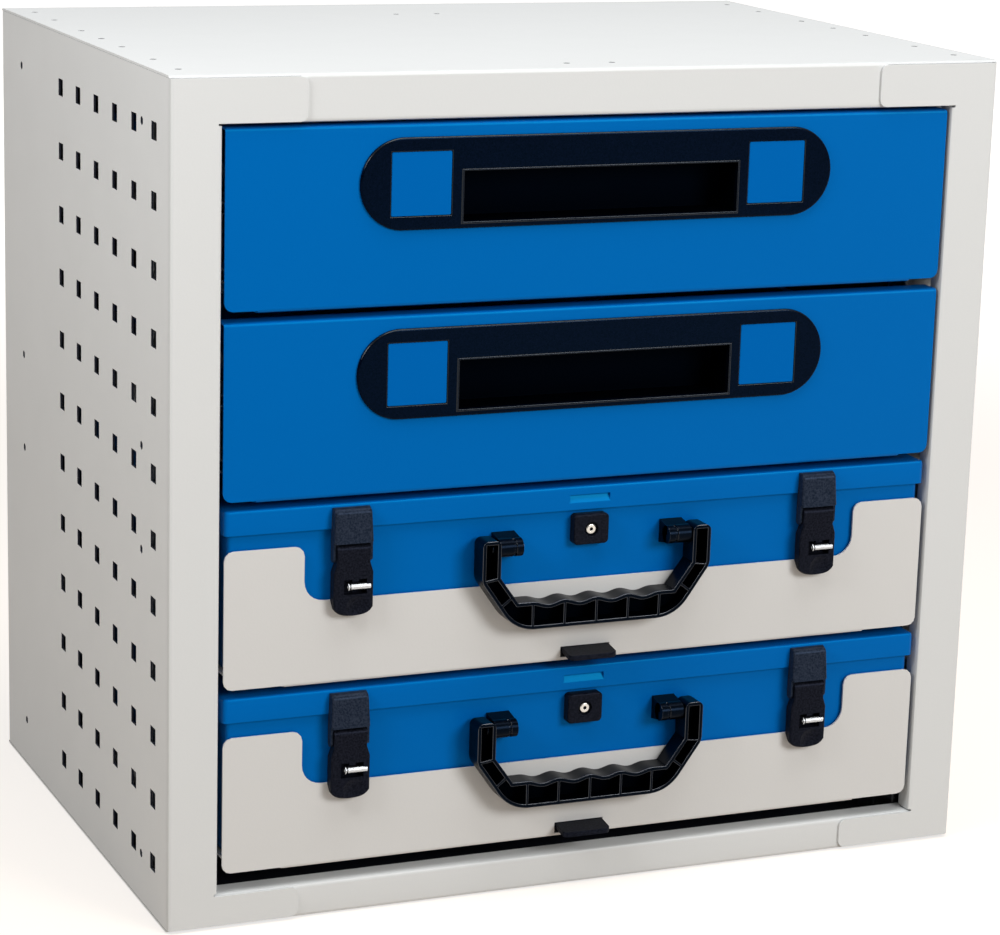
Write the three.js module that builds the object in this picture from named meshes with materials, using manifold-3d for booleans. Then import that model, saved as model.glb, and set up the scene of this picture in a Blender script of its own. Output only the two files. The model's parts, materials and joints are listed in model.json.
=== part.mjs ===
// Drawer cabinet: a folded sheet-steel cabinet with two drawers above two pull-out trays,
// and a carry case with a handle, a lock and two latches on each tray.
// Millimetres. +X is to the right of someone who faces the cabinet, +Y goes back into it
// and +Z is up. The origin is the middle of the underside, where the cabinet stands.

import * as THREE from 'three';
import { mergeVertices } from 'three/addons/utils/BufferGeometryUtils.js';
import Module from 'manifold-3d';

const wasm = await Module();
wasm.setup();

// Cabinet

const openingWidth = 447.6;
const cabinetDepth = 358;
const cabinetSheet = 1.5;
const bendRadius = 1;
const sideFlange = 29.7;
const sideReturn = 12;
const topFlange = 26.9;
const bottomFlange = 20;
const railReturn = 14;
const rearFlange = 20;
const shelfFlange = 20;
const cornerTabLength = 48;
const cornerTabRadius = 4;
const cornerTabInset = 0.8;
const seamGap = 0.5;

// Holes in the cabinet

const perforationSize = 10;
const perforationPitch = 38;
const perforationColumns = 6;
const perforationRows = 12;
const perforationFromFront = 29;
const fixingRadius = 2.7;
const fixingFromEnd = 30.5;
const fixingFromMiddle = 30;
const topFixingInset = 13.5;
const topFixingRadius = 2.3;
const topFixingsFromFront = [29, 75.5, 136.5, 179, 221.5, 282.5, 329];
const topPairSpacing = 28;
const topPairFromFront = 24;
const topPairFromRear = 65;

// Posts that carry the runners and the guides

const postFrontAxis = 52;
const postRearAxis = 310;
const postWidth = 20;

// Fronts of the drawers and trays, and the spaces between them

const frontRecess = 1.5;
const bottomClear = 10.3;
const caseClear = 3.8;
const drawerClear = 5;
const topClear = 1.8;

// Drawers

const drawerSheet = 1.2;
const drawerSideClear = 1.8;
const drawerFrontHeight = 101.6;
const drawerFrontReturn = 14;
const drawerFrontCorner = 5;
const drawerEndRaise = 1.4;
const drawerDepth = 330;
const drawerWallHeight = 75;
const drawerWallLip = 8;

// Telescopic runners: three nested channels, with the rows of balls as solid strips

const runnerThickness = 18.8;
const runnerSheet = 1.5;
const runnerLength = 300;
const runnerFromFront = 14;
const runnerAxisHeight = 38;
const outerMemberHeight = 45;
const outerMemberReach = 15;
const middleMemberHeight = 33;
const middleMemberStart = 3;
const middleMemberReach = 13.5;
const innerMemberHeight = 22;
const innerMemberReach = 12.3;
const ballStripWidth = 3.4;
const ballStripStart = 8.5;
const ballStripInset = 20;
const runningGap = 0.3;

// Drawer grips

const gripLength = 290.5;
const gripHeight = 51.5;
const gripProud = 2;
const gripEdge = 1.2;
const gripAxisHeight = 68.5;
const pocketWidth = 169;
const pocketBelow = 21.9;
const pocketAbove = 6.5;
const pocketHookAbove = 17;
const pocketDepth = 24;
const pocketLip = 3;
const pocketWall = 2;
const pocketRim = 0.6;
const pocketRimWidth = 1;
const labelSize = 36;
const labelSpacing = 219;
const labelDepth = 1.2;

// Trays and their guide rails

const traySheet = 1.2;
const traySideClear = 2.8;
const trayLedge = 34;
const trayLedgeRise = 10;
const trayLedgeGap = 1.5;
const trayEarBelowLid = 9;
const trayEarWidth = 47;
const trayMiddleBelowLid = 41.3;
const trayEarRadius = 5.5;
const trayHollowRadius = 12;
const trayCornerRadius = 5;
const trayEndRaise = 1.4;
const trayDepth = 340;
const trayRearHeight = 28;
const guideSheet = 1.5;
const guideShelfGap = 4.5;
const guideHood = 4.6;
const guideHoodGap = 0.8;
const guideDrop = 10;
const guideFromFront = 18;
const guideLength = 318;

// Tray catches

const catchWidth = 30;
const catchTipWidth = 25;
const catchTipRadius = 3;
const catchProud = 13;
const catchThickness = 3;
const catchDroop = 2;
const catchTopHeight = 8.6;
const catchPivotBack = 34;
const catchPivotHeight = 5.3;
const catchBarrelRadius = 2.6;
const catchPinRadius = 1.3;
const catchPinLength = 3;
const catchToothBack = 9;
const catchToothLength = 4;
const catchToothWidth = 16;
const catchToothTop = 12.2;
const catchSlotBottom = 2.4;
const catchSlotGap = 0.6;
const catchToothGap = 1;
const catchLugHeight = 8.6;
const catchLugLength = 9;
const catchLugThickness = 2;

// Carry cases, measured up from the underside of their tray

const caseSheet = 1.2;
const caseCorner = 2.6;
const lidDepth = 332;
const lidCorner = 3;
const lidInset = 2.6;
const lidTopHeight = 104.6;
const lidSkirt = 14;
const lidEdge = 1.8;
const dimpleWidth = 26;
const dimpleHeight = 5;
const dimpleDepth = 0.6;
const dimpleBelowTop = 4.3;
const hingeLength = 360;
const hingeBarrelRadius = 2.6;
const hingeLeaf = 11;
const hingeLeafThickness = 1;

// Carry handles and their brackets

const handleWidth = 144;
const handlePivotBelowLid = 16.9;
const handlePivotForward = 7.5;
const handleThickness = 13.4;
const handleArmWidth = 11.4;
const handleArmAbove = 6;
const handleArmRadius = 5.3;
const handleKneeShare = 0.315;
const handleKneeRadius = 3;
const handleAboveCatch = 14.2;
const handleGripHeight = 17;
const handleInnerInset = 24;
const handleOuterInset = 29;
const handleCornerRadius = 18;
const handleWall = 2.6;
const handleFloor = 3;
const handleWeb = 1.6;
const handleScallops = 4;
const handleScallopEnd = 8.4;
const handleScallopDepth = 2.2;
const handlePinRadius = 3.4;
const handlePinReach = 4;
const bossLength = 13;
const bossRadius = 5.4;
const bossGrooveDepth = 0.6;
const bossRibs = 3;
const bossRibLength = 3;
const bracketHeight = 14;

// Locks

const lockWidth = 22;
const lockHeight = 19;
const lockProud = 6.4;
const lockCorner = 2.6;
const lockEdge = 0.8;
const lockBelowLid = 11.7;
const lockRecessRadius = 4.8;
const lockRecessDepth = 0.8;
const lockBoreRadius = 4.2;
const lockBoreDepth = 5;
const lockCylinderRadius = 3.9;
const lockCylinderEdge = 0.5;
const keyholeRadius = 0.9;
const keySlotHeight = 4.4;
const keySlotWidth = 0.9;
const keyholeDepth = 3;

// Latches

const latchSpacing = 294;
const latchCapWidth = 22.6;
const latchCapBelowTop = 1.8;
const latchCapBelowLid = 7.7;
const latchCapProud = 7;
const latchCapCorner = 2;
const latchCapEdge = 1.6;
const latchCheekWidth = 25;
const latchCheekThickness = 2;
const latchCheekDrop = 6;
const latchCheekProud = 6.3;
const latchCheekRadius = 2.6;
const latchPivotDrop = 3.9;
const latchPivotProud = 3.8;
const latchPinRadius = 1.4;
const leverNeckWidth = 20;
const leverWidth = 25;
const leverThickness = 6.4;
const leverNeckLength = 7.6;
const leverFlareLength = 5.5;
const leverLength = 38.2;
const leverTipLength = 6.6;
const leverTipWidth = 16;
const leverTipRadius = 5;
const leverEdge = 1.2;
const leverWindowWidth = 13.4;
const leverWindowHeight = 8.6;
const leverWindowDrop = 21.6;
const crossPinRadius = 1.1;
const crossPinSeat = 1;
const crossPinRing = 2;
const crossPinRingLength = 1.6;
const scoopRadius = 11;
const scoopDepth = 1.2;
const scoopDrop = 32.6;

// Fineness of curves, and how far a cutting tool passes a face

const overrun = 5;
const bendSteps = 2;
const cornerSteps = 3;
const cornerStepRadius = 2;
const easeSteps = 2;
const stadiumSteps = 12;
const scallopSteps = 5;
const noseSteps = 8;
const holeSides = 6;
const pinSides = 10;
const roundSides = 16;

// Places that several pieces share

const lowerTrayBase = bottomFlange + bottomClear;
const upperTrayBase = lowerTrayBase + lidTopHeight + caseClear;
const lowerDrawerBase = upperTrayBase + lidTopHeight + caseClear;
const upperDrawerBase = lowerDrawerBase + drawerFrontHeight + drawerClear;
const drawerBases = [upperDrawerBase, lowerDrawerBase];
const trayBases = [upperTrayBase, lowerTrayBase];
const cabinetHeight = upperDrawerBase + drawerFrontHeight + topClear + topFlange;
const cabinetWidth = openingWidth + 2 * sideFlange;
const frontY = -cabinetDepth / 2;
const rearY = cabinetDepth / 2;
const unitFrontY = frontY + frontRecess;
const postFaceX = openingWidth / 2;
const drawerFrontWidth = openingWidth - 2 * drawerSideClear;
const drawerHalfWidth = postFaceX - runnerThickness;
const trayWidth = openingWidth - 2 * traySideClear;
const trayFloorHalfWidth = trayWidth / 2 - trayLedge;
const ledgeTop = trayLedgeRise + traySheet;
const lidWidth = trayWidth;
const bodyFrontY = unitFrontY + lidInset;
const bodyBackY = unitFrontY + lidDepth - lidInset;
const bodyHalfWidth = lidWidth / 2 - lidInset;
const lidBottomHeight = lidTopHeight - lidSkirt;
const trayEarHeight = lidBottomHeight - trayEarBelowLid;
const trayMiddleHeight = lidBottomHeight - trayMiddleBelowLid;
const handlePivotHeight = lidBottomHeight - handlePivotBelowLid;
const lockAxisHeight = lidBottomHeight - lockBelowLid;
const latchCapTop = lidTopHeight - latchCapBelowTop;
const latchCapBottom = lidBottomHeight - latchCapBelowLid;
const latchPivotHeight = latchCapBottom - latchPivotDrop;
const leverBottom = latchPivotHeight - leverLength;
const leverRoundTop = leverBottom + leverTipLength;
const leverNeckBottom = latchPivotHeight - leverNeckLength;
const leverFlareBottom = leverNeckBottom - leverFlareLength;
const leverWindowAxis = latchPivotHeight - leverWindowDrop;
const catchPivotY = unitFrontY + catchPivotBack;
const handlePivotY = unitFrontY - handlePivotForward;
const handleArmInner = handleWidth / 2 - handleArmWidth;
const handleInnerHalfWidth = handleWidth / 2 - handleInnerInset;
const handleOuterHalfWidth = handleWidth / 2 - handleOuterInset;
const handleScallopPitch = 2 * (handleInnerHalfWidth - handleScallopEnd) / handleScallops;
const handleGripLow = catchTopHeight + handleAboveCatch;
const handleKneeHeight = handlePivotHeight - handleKneeShare * (handlePivotHeight - handleGripLow);
const latchPivotY = unitFrontY - latchPivotProud;
const sides = [['left', -1], ['right', 1]];

const paint = (color, roughness, metalness) => (
  new THREE.MeshStandardMaterial({ color, roughness, metalness })
);
const cabinetPaint = paint(0xd6dadb, 0.45, 0);
const bluePaint = paint(0x0069b4, 0.4, 0);
const trayPaint = paint(0xd9d8d4, 0.5, 0);
const blackPlastic = paint(0x121217, 0.5, 0);
const zincPlate = paint(0xb4b8bc, 0.35, 0.9);
const nickelPlate = paint(0xc9c6bf, 0.25, 1);

// Solids

const sectionBases = {
  x: [new THREE.Vector3(0, 1, 0), new THREE.Vector3(0, 0, 1), new THREE.Vector3(1, 0, 0)],
  y: [new THREE.Vector3(1, 0, 0), new THREE.Vector3(0, 0, 1), new THREE.Vector3(0, -1, 0)],
  z: [new THREE.Vector3(1, 0, 0), new THREE.Vector3(0, 1, 0), new THREE.Vector3(0, 0, 1)],
};

function solidFrom(geometry) {
  geometry.deleteAttribute('normal');
  geometry.deleteAttribute('uv');
  const merged = mergeVertices(geometry);
  const vertProperties = new Float32Array(merged.attributes.position.array);
  const triVerts = new Uint32Array(merged.index.array);
  return new wasm.Manifold(new wasm.Mesh({ numProp: 3, vertProperties, triVerts }));
}

function geometryFrom(solid) {
  const result = solid.getMesh();
  const geometry = new THREE.BufferGeometry();
  geometry.setAttribute('position', new THREE.BufferAttribute(result.vertProperties, 3));
  geometry.setIndex(new THREE.BufferAttribute(result.triVerts, 1));
  geometry.computeVertexNormals();
  return geometry;
}

const ordered = (pair) => [Math.min(...pair), Math.max(...pair)];
const centred = (size) => [-size / 2, size / 2];
const join = (solids) => wasm.Manifold.union(solids);
const cut = (solid, tools) => wasm.Manifold.difference([solid, ...tools]);

// A straight prism. The outline is given in the two other axes, in X, Y, Z order.
function prism(outline, axis, ends) {
  const [start, end] = ordered(ends);
  const shape = new THREE.Shape(outline.map(([u, v]) => new THREE.Vector2(u, v)));
  const geometry = new THREE.ExtrudeGeometry(shape, { depth: end - start, bevelEnabled: false });
  geometry.applyMatrix4(new THREE.Matrix4().makeBasis(...sectionBases[axis]));
  const shift = new THREE.Vector3();
  shift[axis] = axis === 'y' ? end : start;
  geometry.translate(shift.x, shift.y, shift.z);
  return solidFrom(geometry);
}

function box(xs, ys, zs) {
  const [[x0, x1], [y0, y1]] = [ordered(xs), ordered(ys)];
  return prism([[x0, y0], [x1, y0], [x1, y1], [x0, y1]], 'z', zs);
}

function circle(u, v, radius, count) {
  return Array.from({ length: count }, (_, i) => {
    const angle = (2 * Math.PI * (i + 1 / 2)) / count;
    return [u + radius * Math.cos(angle), v + radius * Math.sin(angle)];
  });
}

function rod(axis, u, v, radius, ends, count = roundSides) {
  return prism(circle(u, v, radius, count), axis, ends);
}

// A closed polygon with rounded corners. Each corner is [u, v, radius].
function rounded(corners) {
  const outline = [];
  corners.forEach(([u, v, radius = 0], i) => {
    if (radius === 0) {
      outline.push([u, v]);
      return;
    }
    const here = new THREE.Vector2(u, v);
    const [beforeU, beforeV] = corners.at(i - 1);
    const [afterU, afterV] = corners[(i + 1) % corners.length];
    const before = new THREE.Vector2(beforeU, beforeV).sub(here).normalize();
    const after = new THREE.Vector2(afterU, afterV).sub(here).normalize();
    const half = Math.acos(before.dot(after)) / 2;
    const towards = before.clone().add(after).normalize();
    const centre = towards.multiplyScalar(radius / Math.sin(half)).add(here);
    const start = before.clone().multiplyScalar(radius / Math.tan(half)).add(here);
    const turn = -Math.sign(before.cross(after)) * (Math.PI - 2 * half);
    const steps = Math.max(cornerSteps, Math.round(radius / cornerStepRadius));
    for (let step = 0; step <= steps; step += 1) {
      const point = start.clone().rotateAround(centre, (turn * step) / steps);
      outline.push([point.x, point.y]);
    }
  });
  return outline;
}

function rectangle(us, vs, radius) {
  const [[u0, u1], [v0, v1]] = [ordered(us), ordered(vs)];
  return rounded([[u0, v0, radius], [u1, v0, radius], [u1, v1, radius], [u0, v1, radius]]);
}

function stadium(length, height, v) {
  const radius = height / 2;
  return [1, -1].flatMap((end) => Array.from({ length: stadiumSteps + 1 }, (_, i) => {
    const angle = Math.PI * (i / stadiumSteps - 1 / 2);
    const across = length / 2 - radius + radius * Math.cos(angle);
    return [end * across, v + end * radius * Math.sin(angle)];
  }));
}

function shrunk(outline, distance) {
  const section = new wasm.CrossSection([outline], 'EvenOdd');
  return section.offset(-distance, 'Miter').toPolygons()[0];
}

// The section of folded sheet. The corners follow one face of the sheet, and the sheet
// lies to the left of that walk where its thickness is positive, and to the right of it
// where it is negative.
function folded(corners, sheet) {
  const side = Math.sign(sheet);
  const thickness = Math.abs(sheet);
  const points = corners.map(([u, v]) => new THREE.Vector2(u, v));
  const directions = points.slice(1).map((point, i) => point.clone().sub(points[i]).normalize());
  const normalOf = ({ x, y }) => new THREE.Vector2(-y, x).multiplyScalar(side);
  const walk = [[points[0], normalOf(directions[0])]];
  for (let i = 1; i < points.length - 1; i += 1) {
    const [before, after] = [directions[i - 1], directions[i]];
    const turn = Math.atan2(before.cross(after), before.dot(after));
    const radius = bendRadius + (Math.sign(turn) === side ? thickness : 0);
    const reach = radius * Math.tan(Math.abs(turn) / 2);
    const start = points[i].clone().addScaledVector(before, -reach);
    const towards = new THREE.Vector2(-before.y, before.x).multiplyScalar(Math.sign(turn));
    const centre = start.clone().addScaledVector(towards, radius);
    for (let step = 0; step <= bendSteps; step += 1) {
      const angle = (turn * step) / bendSteps;
      const normal = normalOf(before).rotateAround(new THREE.Vector2(), angle);
      walk.push([start.clone().rotateAround(centre, angle), normal]);
    }
  }
  walk.push([points.at(-1), normalOf(directions.at(-1))]);
  const near = walk.map(([{ x, y }]) => [x, y]);
  const far = walk.map(([{ x, y }, normal]) => [x + thickness * normal.x, y + thickness * normal.y]);
  return [...near, ...far.reverse()];
}

// A solid with a bulging outline, a square end and a face with an eased edge.
function eased(outline, axis, square, face, edge) {
  const place = {
    x: (w, [u, v]) => [w, u, v],
    y: (w, [u, v]) => [u, w, v],
    z: (w, [u, v]) => [u, v, w],
  };
  const placed = place[axis];
  const points = outline.map((point) => placed(square, point));
  for (let step = 0; step <= easeSteps; step += 1) {
    const angle = (Math.PI / 2) * (step / easeSteps);
    const level = face + Math.sign(square - face) * edge * (1 - Math.cos(angle));
    const ring = shrunk(outline, edge * (1 - Math.sin(angle)));
    points.push(...ring.map((point) => placed(level, point)));
  }
  return wasm.Manifold.hull(points);
}

const group = new THREE.Group();
group.name = 'drawer_cabinet';

function add(name, solid, material, height = 0) {
  const mesh = new THREE.Mesh(geometryFrom(solid.translate([0, 0, height])), material);
  mesh.name = name;
  group.add(mesh);
}

// Cabinet

function sidePanel(side) {
  const at = (inward) => side * (cabinetWidth / 2 - inward);
  const bottom = cabinetSheet;
  const top = cabinetHeight - cabinetSheet;
  const flangeEnd = sideFlange - cabinetSheet - bendRadius;
  const wall = prism(
    folded([[at(flangeEnd), frontY], [at(0), frontY], [at(0), rearY], [at(rearFlange), rearY]],
      side * cabinetSheet), 'z', [bottom, top]);
  const lip = prism(
    folded([[at(sideFlange / 2), frontY], [at(sideFlange), frontY],
      [at(sideFlange), frontY + sideReturn]], -side * cabinetSheet),
    'z', [bottomFlange + seamGap, cabinetHeight - topFlange - seamGap]);
  const tab = (low, high) => prism(
    rounded([[at(sideFlange / 2), low], [at(sideFlange + cornerTabLength), low, cornerTabRadius],
      [at(sideFlange + cornerTabLength), high, cornerTabRadius], [at(sideFlange / 2), high]]),
    'y', [frontY, frontY + cabinetSheet]);
  const topTab = tab(cabinetHeight - topFlange + cornerTabInset, top);
  const bottomTab = tab(bottom, bottomFlange - cornerTabInset);
  const shelfEnds = [frontY + 2 * cabinetSheet + bendRadius + seamGap, rearY - 2 * cabinetSheet - seamGap];
  const shelf = (low) => box([at(cabinetSheet / 2), at(shelfFlange)], shelfEnds, [low, low + cabinetSheet]);
  const panel = join([wall, lip, topTab, bottomTab, shelf(bottom), shelf(top - cabinetSheet)]);

  const through = [at(-overrun), at(cabinetSheet + overrun)];
  const lowestRow = (cabinetHeight - (perforationRows - 1) * perforationPitch) / 2;
  const half = perforationSize / 2;
  const holes = [];
  for (let column = 0; column < perforationColumns; column += 1) {
    for (let row = 0; row < perforationRows; row += 1) {
      const y = frontY + perforationFromFront + column * perforationPitch;
      const z = lowestRow + row * perforationPitch;
      holes.push(box(through, [y - half, y + half], [z - half, z + half]));
    }
  }
  const middle = cabinetHeight / 2;
  const fixingHeights = [fixingFromEnd, middle - fixingFromMiddle, middle + fixingFromMiddle,
    cabinetHeight - fixingFromEnd];
  for (const axis of [postFrontAxis, postRearAxis]) {
    for (const z of fixingHeights) {
      holes.push(rod('x', frontY + axis, z, fixingRadius, through, holeSides));
    }
  }
  for (const fromFront of topFixingsFromFront) {
    const y = frontY + fromFront;
    holes.push(rod('z', at(topFixingInset), y, topFixingRadius, [top - overrun, top + overrun], holeSides));
  }
  return cut(panel, holes);
}

// The top panel, and with depths counted from the underside the bottom panel.
function railPanel(flange, heightAt) {
  const railY = frontY + cabinetSheet;
  const inward = Math.sign(heightAt(cabinetSheet) - heightAt(0));
  const section = folded([[railY + railReturn, heightAt(flange)], [railY, heightAt(flange)],
    [railY, heightAt(0)], [rearY, heightAt(0)], [rearY, heightAt(rearFlange)]], inward * cabinetSheet);
  const panel = prism(section, 'x', centred(cabinetWidth));
  const belowPlate = [heightAt(cabinetSheet), heightAt(flange + rearFlange)];
  const trims = [];
  for (const [, side] of sides) {
    const at = (distance) => side * (cabinetWidth / 2 - distance);
    const sideClear = cabinetSheet + bendRadius + seamGap;
    trims.push(box([at(-overrun), at(sideClear)], [frontY - overrun, rearY + overrun], belowPlate));
    const rearBend = [rearY - cabinetSheet - bendRadius, rearY + overrun];
    trims.push(box([at(-overrun), at(rearFlange + seamGap)], rearBend, belowPlate));
  }
  return cut(panel, trims);
}

function topPanel() {
  const places = [];
  for (const [, side] of sides) {
    for (const fromFront of topFixingsFromFront) {
      places.push([side * (cabinetWidth / 2 - topFixingInset), frontY + fromFront]);
    }
    places.push([side * topPairSpacing / 2, frontY + topPairFromFront]);
    places.push([side * topPairSpacing / 2, rearY - topPairFromRear]);
  }
  const ends = [cabinetHeight - overrun, cabinetHeight + overrun];
  const holes = places.map(([x, y]) => rod('z', x, y, topFixingRadius, ends, holeSides));
  return cut(railPanel(topFlange, (depth) => cabinetHeight - depth), holes);
}

function backPanel() {
  const clear = cabinetSheet + bendRadius + seamGap;
  return box(centred(cabinetWidth - 2 * clear), [rearY - 2 * cabinetSheet, rearY - cabinetSheet],
    [clear, cabinetHeight - clear]);
}

// A channel that opens towards the middle of the cabinet's depth.
function post(side, axis, opens) {
  const at = (inward) => side * (cabinetWidth / 2 - inward);
  const open = frontY + axis + opens * postWidth / 2;
  const web = frontY + axis - opens * postWidth / 2;
  const section = folded([[at(cabinetSheet), open], [at(cabinetSheet), web],
    [at(sideFlange), web], [at(sideFlange), open]], -side * opens * cabinetSheet);
  return prism(section, 'z', [2 * cabinetSheet, cabinetHeight - 2 * cabinetSheet]);
}

add('top_panel', topPanel(), cabinetPaint);
add('bottom_panel', railPanel(bottomFlange, (depth) => depth), cabinetPaint);
add('back_panel', backPanel(), cabinetPaint);
for (const [name, side] of sides) {
  add(`${name}_side_panel`, sidePanel(side), cabinetPaint);
  add(`${name}_front_post`, post(side, postFrontAxis, 1), zincPlate);
  add(`${name}_rear_post`, post(side, postRearAxis, -1), zincPlate);
}

// Drawers, measured up from the lower edge of the drawer's front

function drawerPan() {
  const backY = unitFrontY + drawerDepth;
  const bend = bendRadius + drawerSheet;
  const innerHalf = drawerHalfWidth - bend;
  const half = drawerFrontWidth / 2;
  const blank = prism(folded([[unitFrontY, drawerFrontHeight / 2], [unitFrontY, 0], [backY, 0],
    [backY, drawerWallHeight], [backY - drawerWallLip, drawerWallHeight]], drawerSheet),
  'x', centred(2 * innerHalf));
  const topReturn = prism(folded([[unitFrontY + drawerFrontReturn, drawerFrontHeight],
    [unitFrontY, drawerFrontHeight], [unitFrontY, drawerFrontHeight / 2]], drawerSheet),
  'x', centred(drawerFrontWidth));
  const plate = prism(rounded([[-half, drawerEndRaise, drawerFrontCorner], [-innerHalf, drawerEndRaise],
    [-innerHalf, bend], [innerHalf, bend], [innerHalf, drawerEndRaise],
    [half, drawerEndRaise, drawerFrontCorner], [half, drawerFrontHeight - bend],
    [-half, drawerFrontHeight - bend]]), 'y', [unitFrontY, unitFrontY + drawerSheet]);
  const trough = prism(folded([[-drawerHalfWidth + drawerWallLip, drawerWallHeight],
    [-drawerHalfWidth, drawerWallHeight], [-drawerHalfWidth, 0], [drawerHalfWidth, 0],
    [drawerHalfWidth, drawerWallHeight], [drawerHalfWidth - drawerWallLip, drawerWallHeight]],
  drawerSheet), 'y', [unitFrontY + drawerSheet / 2, backY - bend]);
  const underFold = box(centred(2 * (drawerHalfWidth + overrun)), [unitFrontY - overrun, unitFrontY + bend],
    [-overrun, bend]);
  const pocketHalf = pocketWidth / 2 + pocketWall + seamGap;
  const window = box(centred(2 * pocketHalf), [unitFrontY - overrun, unitFrontY + drawerSheet + overrun],
    [gripAxisHeight - pocketBelow - pocketWall - seamGap,
      gripAxisHeight + pocketHookAbove + pocketWall + seamGap]);
  return join([cut(trough, [underFold]), blank, topReturn, plate]).subtract(window);
}

function drawerGrip() {
  const faceY = unitFrontY - gripProud;
  const low = gripAxisHeight - pocketBelow;
  const high = gripAxisHeight + pocketAbove;
  const hookHigh = gripAxisHeight + pocketHookAbove;
  const backY = faceY + pocketDepth;
  const plate = eased(stadium(gripLength, gripHeight, gripAxisHeight), 'y', unitFrontY, faceY, gripEdge);
  const rim = box(centred(pocketWidth + 2 * pocketRimWidth), [faceY - pocketRim, unitFrontY],
    [low - pocketRimWidth, high + pocketRimWidth]);
  const shell = box(centred(pocketWidth + 2 * pocketWall), [faceY + gripEdge, backY + pocketWall],
    [low - pocketWall, hookHigh + pocketWall]);
  const mouth = box(centred(pocketWidth), [faceY - overrun, backY], [low, high]);
  const hook = box(centred(pocketWidth), [faceY + pocketLip, backY], [low, hookHigh]);
  const recesses = sides.map(([, side]) => box(
    [side * (labelSpacing - labelSize) / 2, side * (labelSpacing + labelSize) / 2],
    [faceY - overrun, faceY + labelDepth],
    [gripAxisHeight - labelSize / 2, gripAxisHeight + labelSize / 2]));
  return cut(join([plate, rim, shell]), [mouth, hook, ...recesses]);
}

const runnerEnds = [frontY + runnerFromFront, frontY + runnerFromFront + runnerLength];

// One member of a runner. Its web stands off the post's face, and its flanges reach to
// their edge at the other distance.
function runnerMember(side, webAt, edgeAt, height) {
  const at = (inward) => side * (postFaceX - inward);
  const [low, high] = [runnerAxisHeight - height / 2, runnerAxisHeight + height / 2];
  const section = folded([[at(edgeAt), low], [at(webAt), low], [at(webAt), high], [at(edgeAt), high]],
    side * Math.sign(edgeAt - webAt) * runnerSheet);
  return prism(section, 'y', runnerEnds);
}

function middleMember(side) {
  const at = (inward) => side * (postFaceX - inward);
  const channel = runnerMember(side, middleMemberStart, middleMemberReach, middleMemberHeight);
  const [start, end] = runnerEnds;
  const near = innerMemberHeight / 2 + runningGap;
  const far = outerMemberHeight / 2 - runnerSheet - runningGap;
  const strips = [-1, 1].map((up) => box(
    [at(ballStripStart), at(ballStripStart + ballStripWidth)], [start + ballStripInset, end - ballStripInset],
    [runnerAxisHeight + up * near, runnerAxisHeight + up * far]));
  return join([channel, ...strips]);
}

drawerBases.forEach((base, i) => {
  const drawer = `drawer_${i + 1}`;
  add(drawer, drawerPan(), bluePaint, base);
  add(`${drawer}_grip`, drawerGrip(), blackPlastic, base);
  for (const [name, side] of sides) {
    const runner = `${drawer}_${name}_runner`;
    add(`${runner}_outer`, runnerMember(side, 0, outerMemberReach, outerMemberHeight), zincPlate, base);
    add(`${runner}_middle`, middleMember(side), zincPlate, base);
    const innerEdge = runnerThickness - innerMemberReach;
    const inner = runnerMember(side, runnerThickness, innerEdge, innerMemberHeight);
    add(`${runner}_inner`, inner, zincPlate, base);
  }
});

// Trays, measured up from the underside of their floor

function trayPan() {
  const bend = bendRadius + traySheet;
  const backY = unitFrontY + trayDepth;
  const floorHalf = trayFloorHalfWidth;
  const innerHalf = floorHalf - bend;
  const half = trayWidth / 2;
  const earInner = half - trayEarWidth;
  const ledgeEdge = postFaceX - guideSheet - trayLedgeGap;
  const blank = prism(folded([[unitFrontY, trayMiddleHeight / 2], [unitFrontY, 0], [backY, 0],
    [backY, trayRearHeight]], traySheet), 'x', centred(2 * innerHalf));
  const plate = prism(rounded([[-half, trayEndRaise, trayCornerRadius], [-innerHalf, trayEndRaise],
    [-innerHalf, bend], [innerHalf, bend], [innerHalf, trayEndRaise],
    [half, trayEndRaise, trayCornerRadius], [half, trayEarHeight, trayEarRadius],
    [earInner, trayEarHeight, trayEarRadius], [earInner, trayMiddleHeight, trayHollowRadius],
    [-earInner, trayMiddleHeight, trayHollowRadius], [-earInner, trayEarHeight, trayEarRadius],
    [-half, trayEarHeight, trayEarRadius]]), 'y', [unitFrontY, unitFrontY + traySheet]);
  const deck = prism(folded([[-ledgeEdge, trayLedgeRise], [-floorHalf, trayLedgeRise], [-floorHalf, 0],
    [floorHalf, 0], [floorHalf, trayLedgeRise], [ledgeEdge, trayLedgeRise]], traySheet),
  'y', [unitFrontY + traySheet / 2, backY - bend]);
  const underFold = box(centred(2 * (floorHalf + overrun)), [unitFrontY - overrun, unitFrontY + bend],
    [-overrun, bend]);
  const slot = box(centred(catchWidth + 2 * catchSlotGap), [unitFrontY - overrun, unitFrontY + bend],
    [catchSlotBottom, catchTopHeight + runningGap]);
  const lugs = sides.map(([, side]) => {
    const near = catchWidth / 2 + runningGap;
    const lugXs = [side * near, side * (near + catchLugThickness)];
    const lug = box(lugXs, [catchPivotY - catchLugLength / 2, catchPivotY + catchLugLength / 2],
      [traySheet / 2, catchLugHeight]);
    const bore = rod('x', catchPivotY, catchPivotHeight, catchPinRadius + runningGap,
      [side * (near - overrun), side * (near + catchLugThickness + overrun)], pinSides);
    return lug.subtract(bore);
  });
  return cut(join([cut(deck, [underFold]), blank, plate, ...lugs]), [slot]);
}

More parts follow.
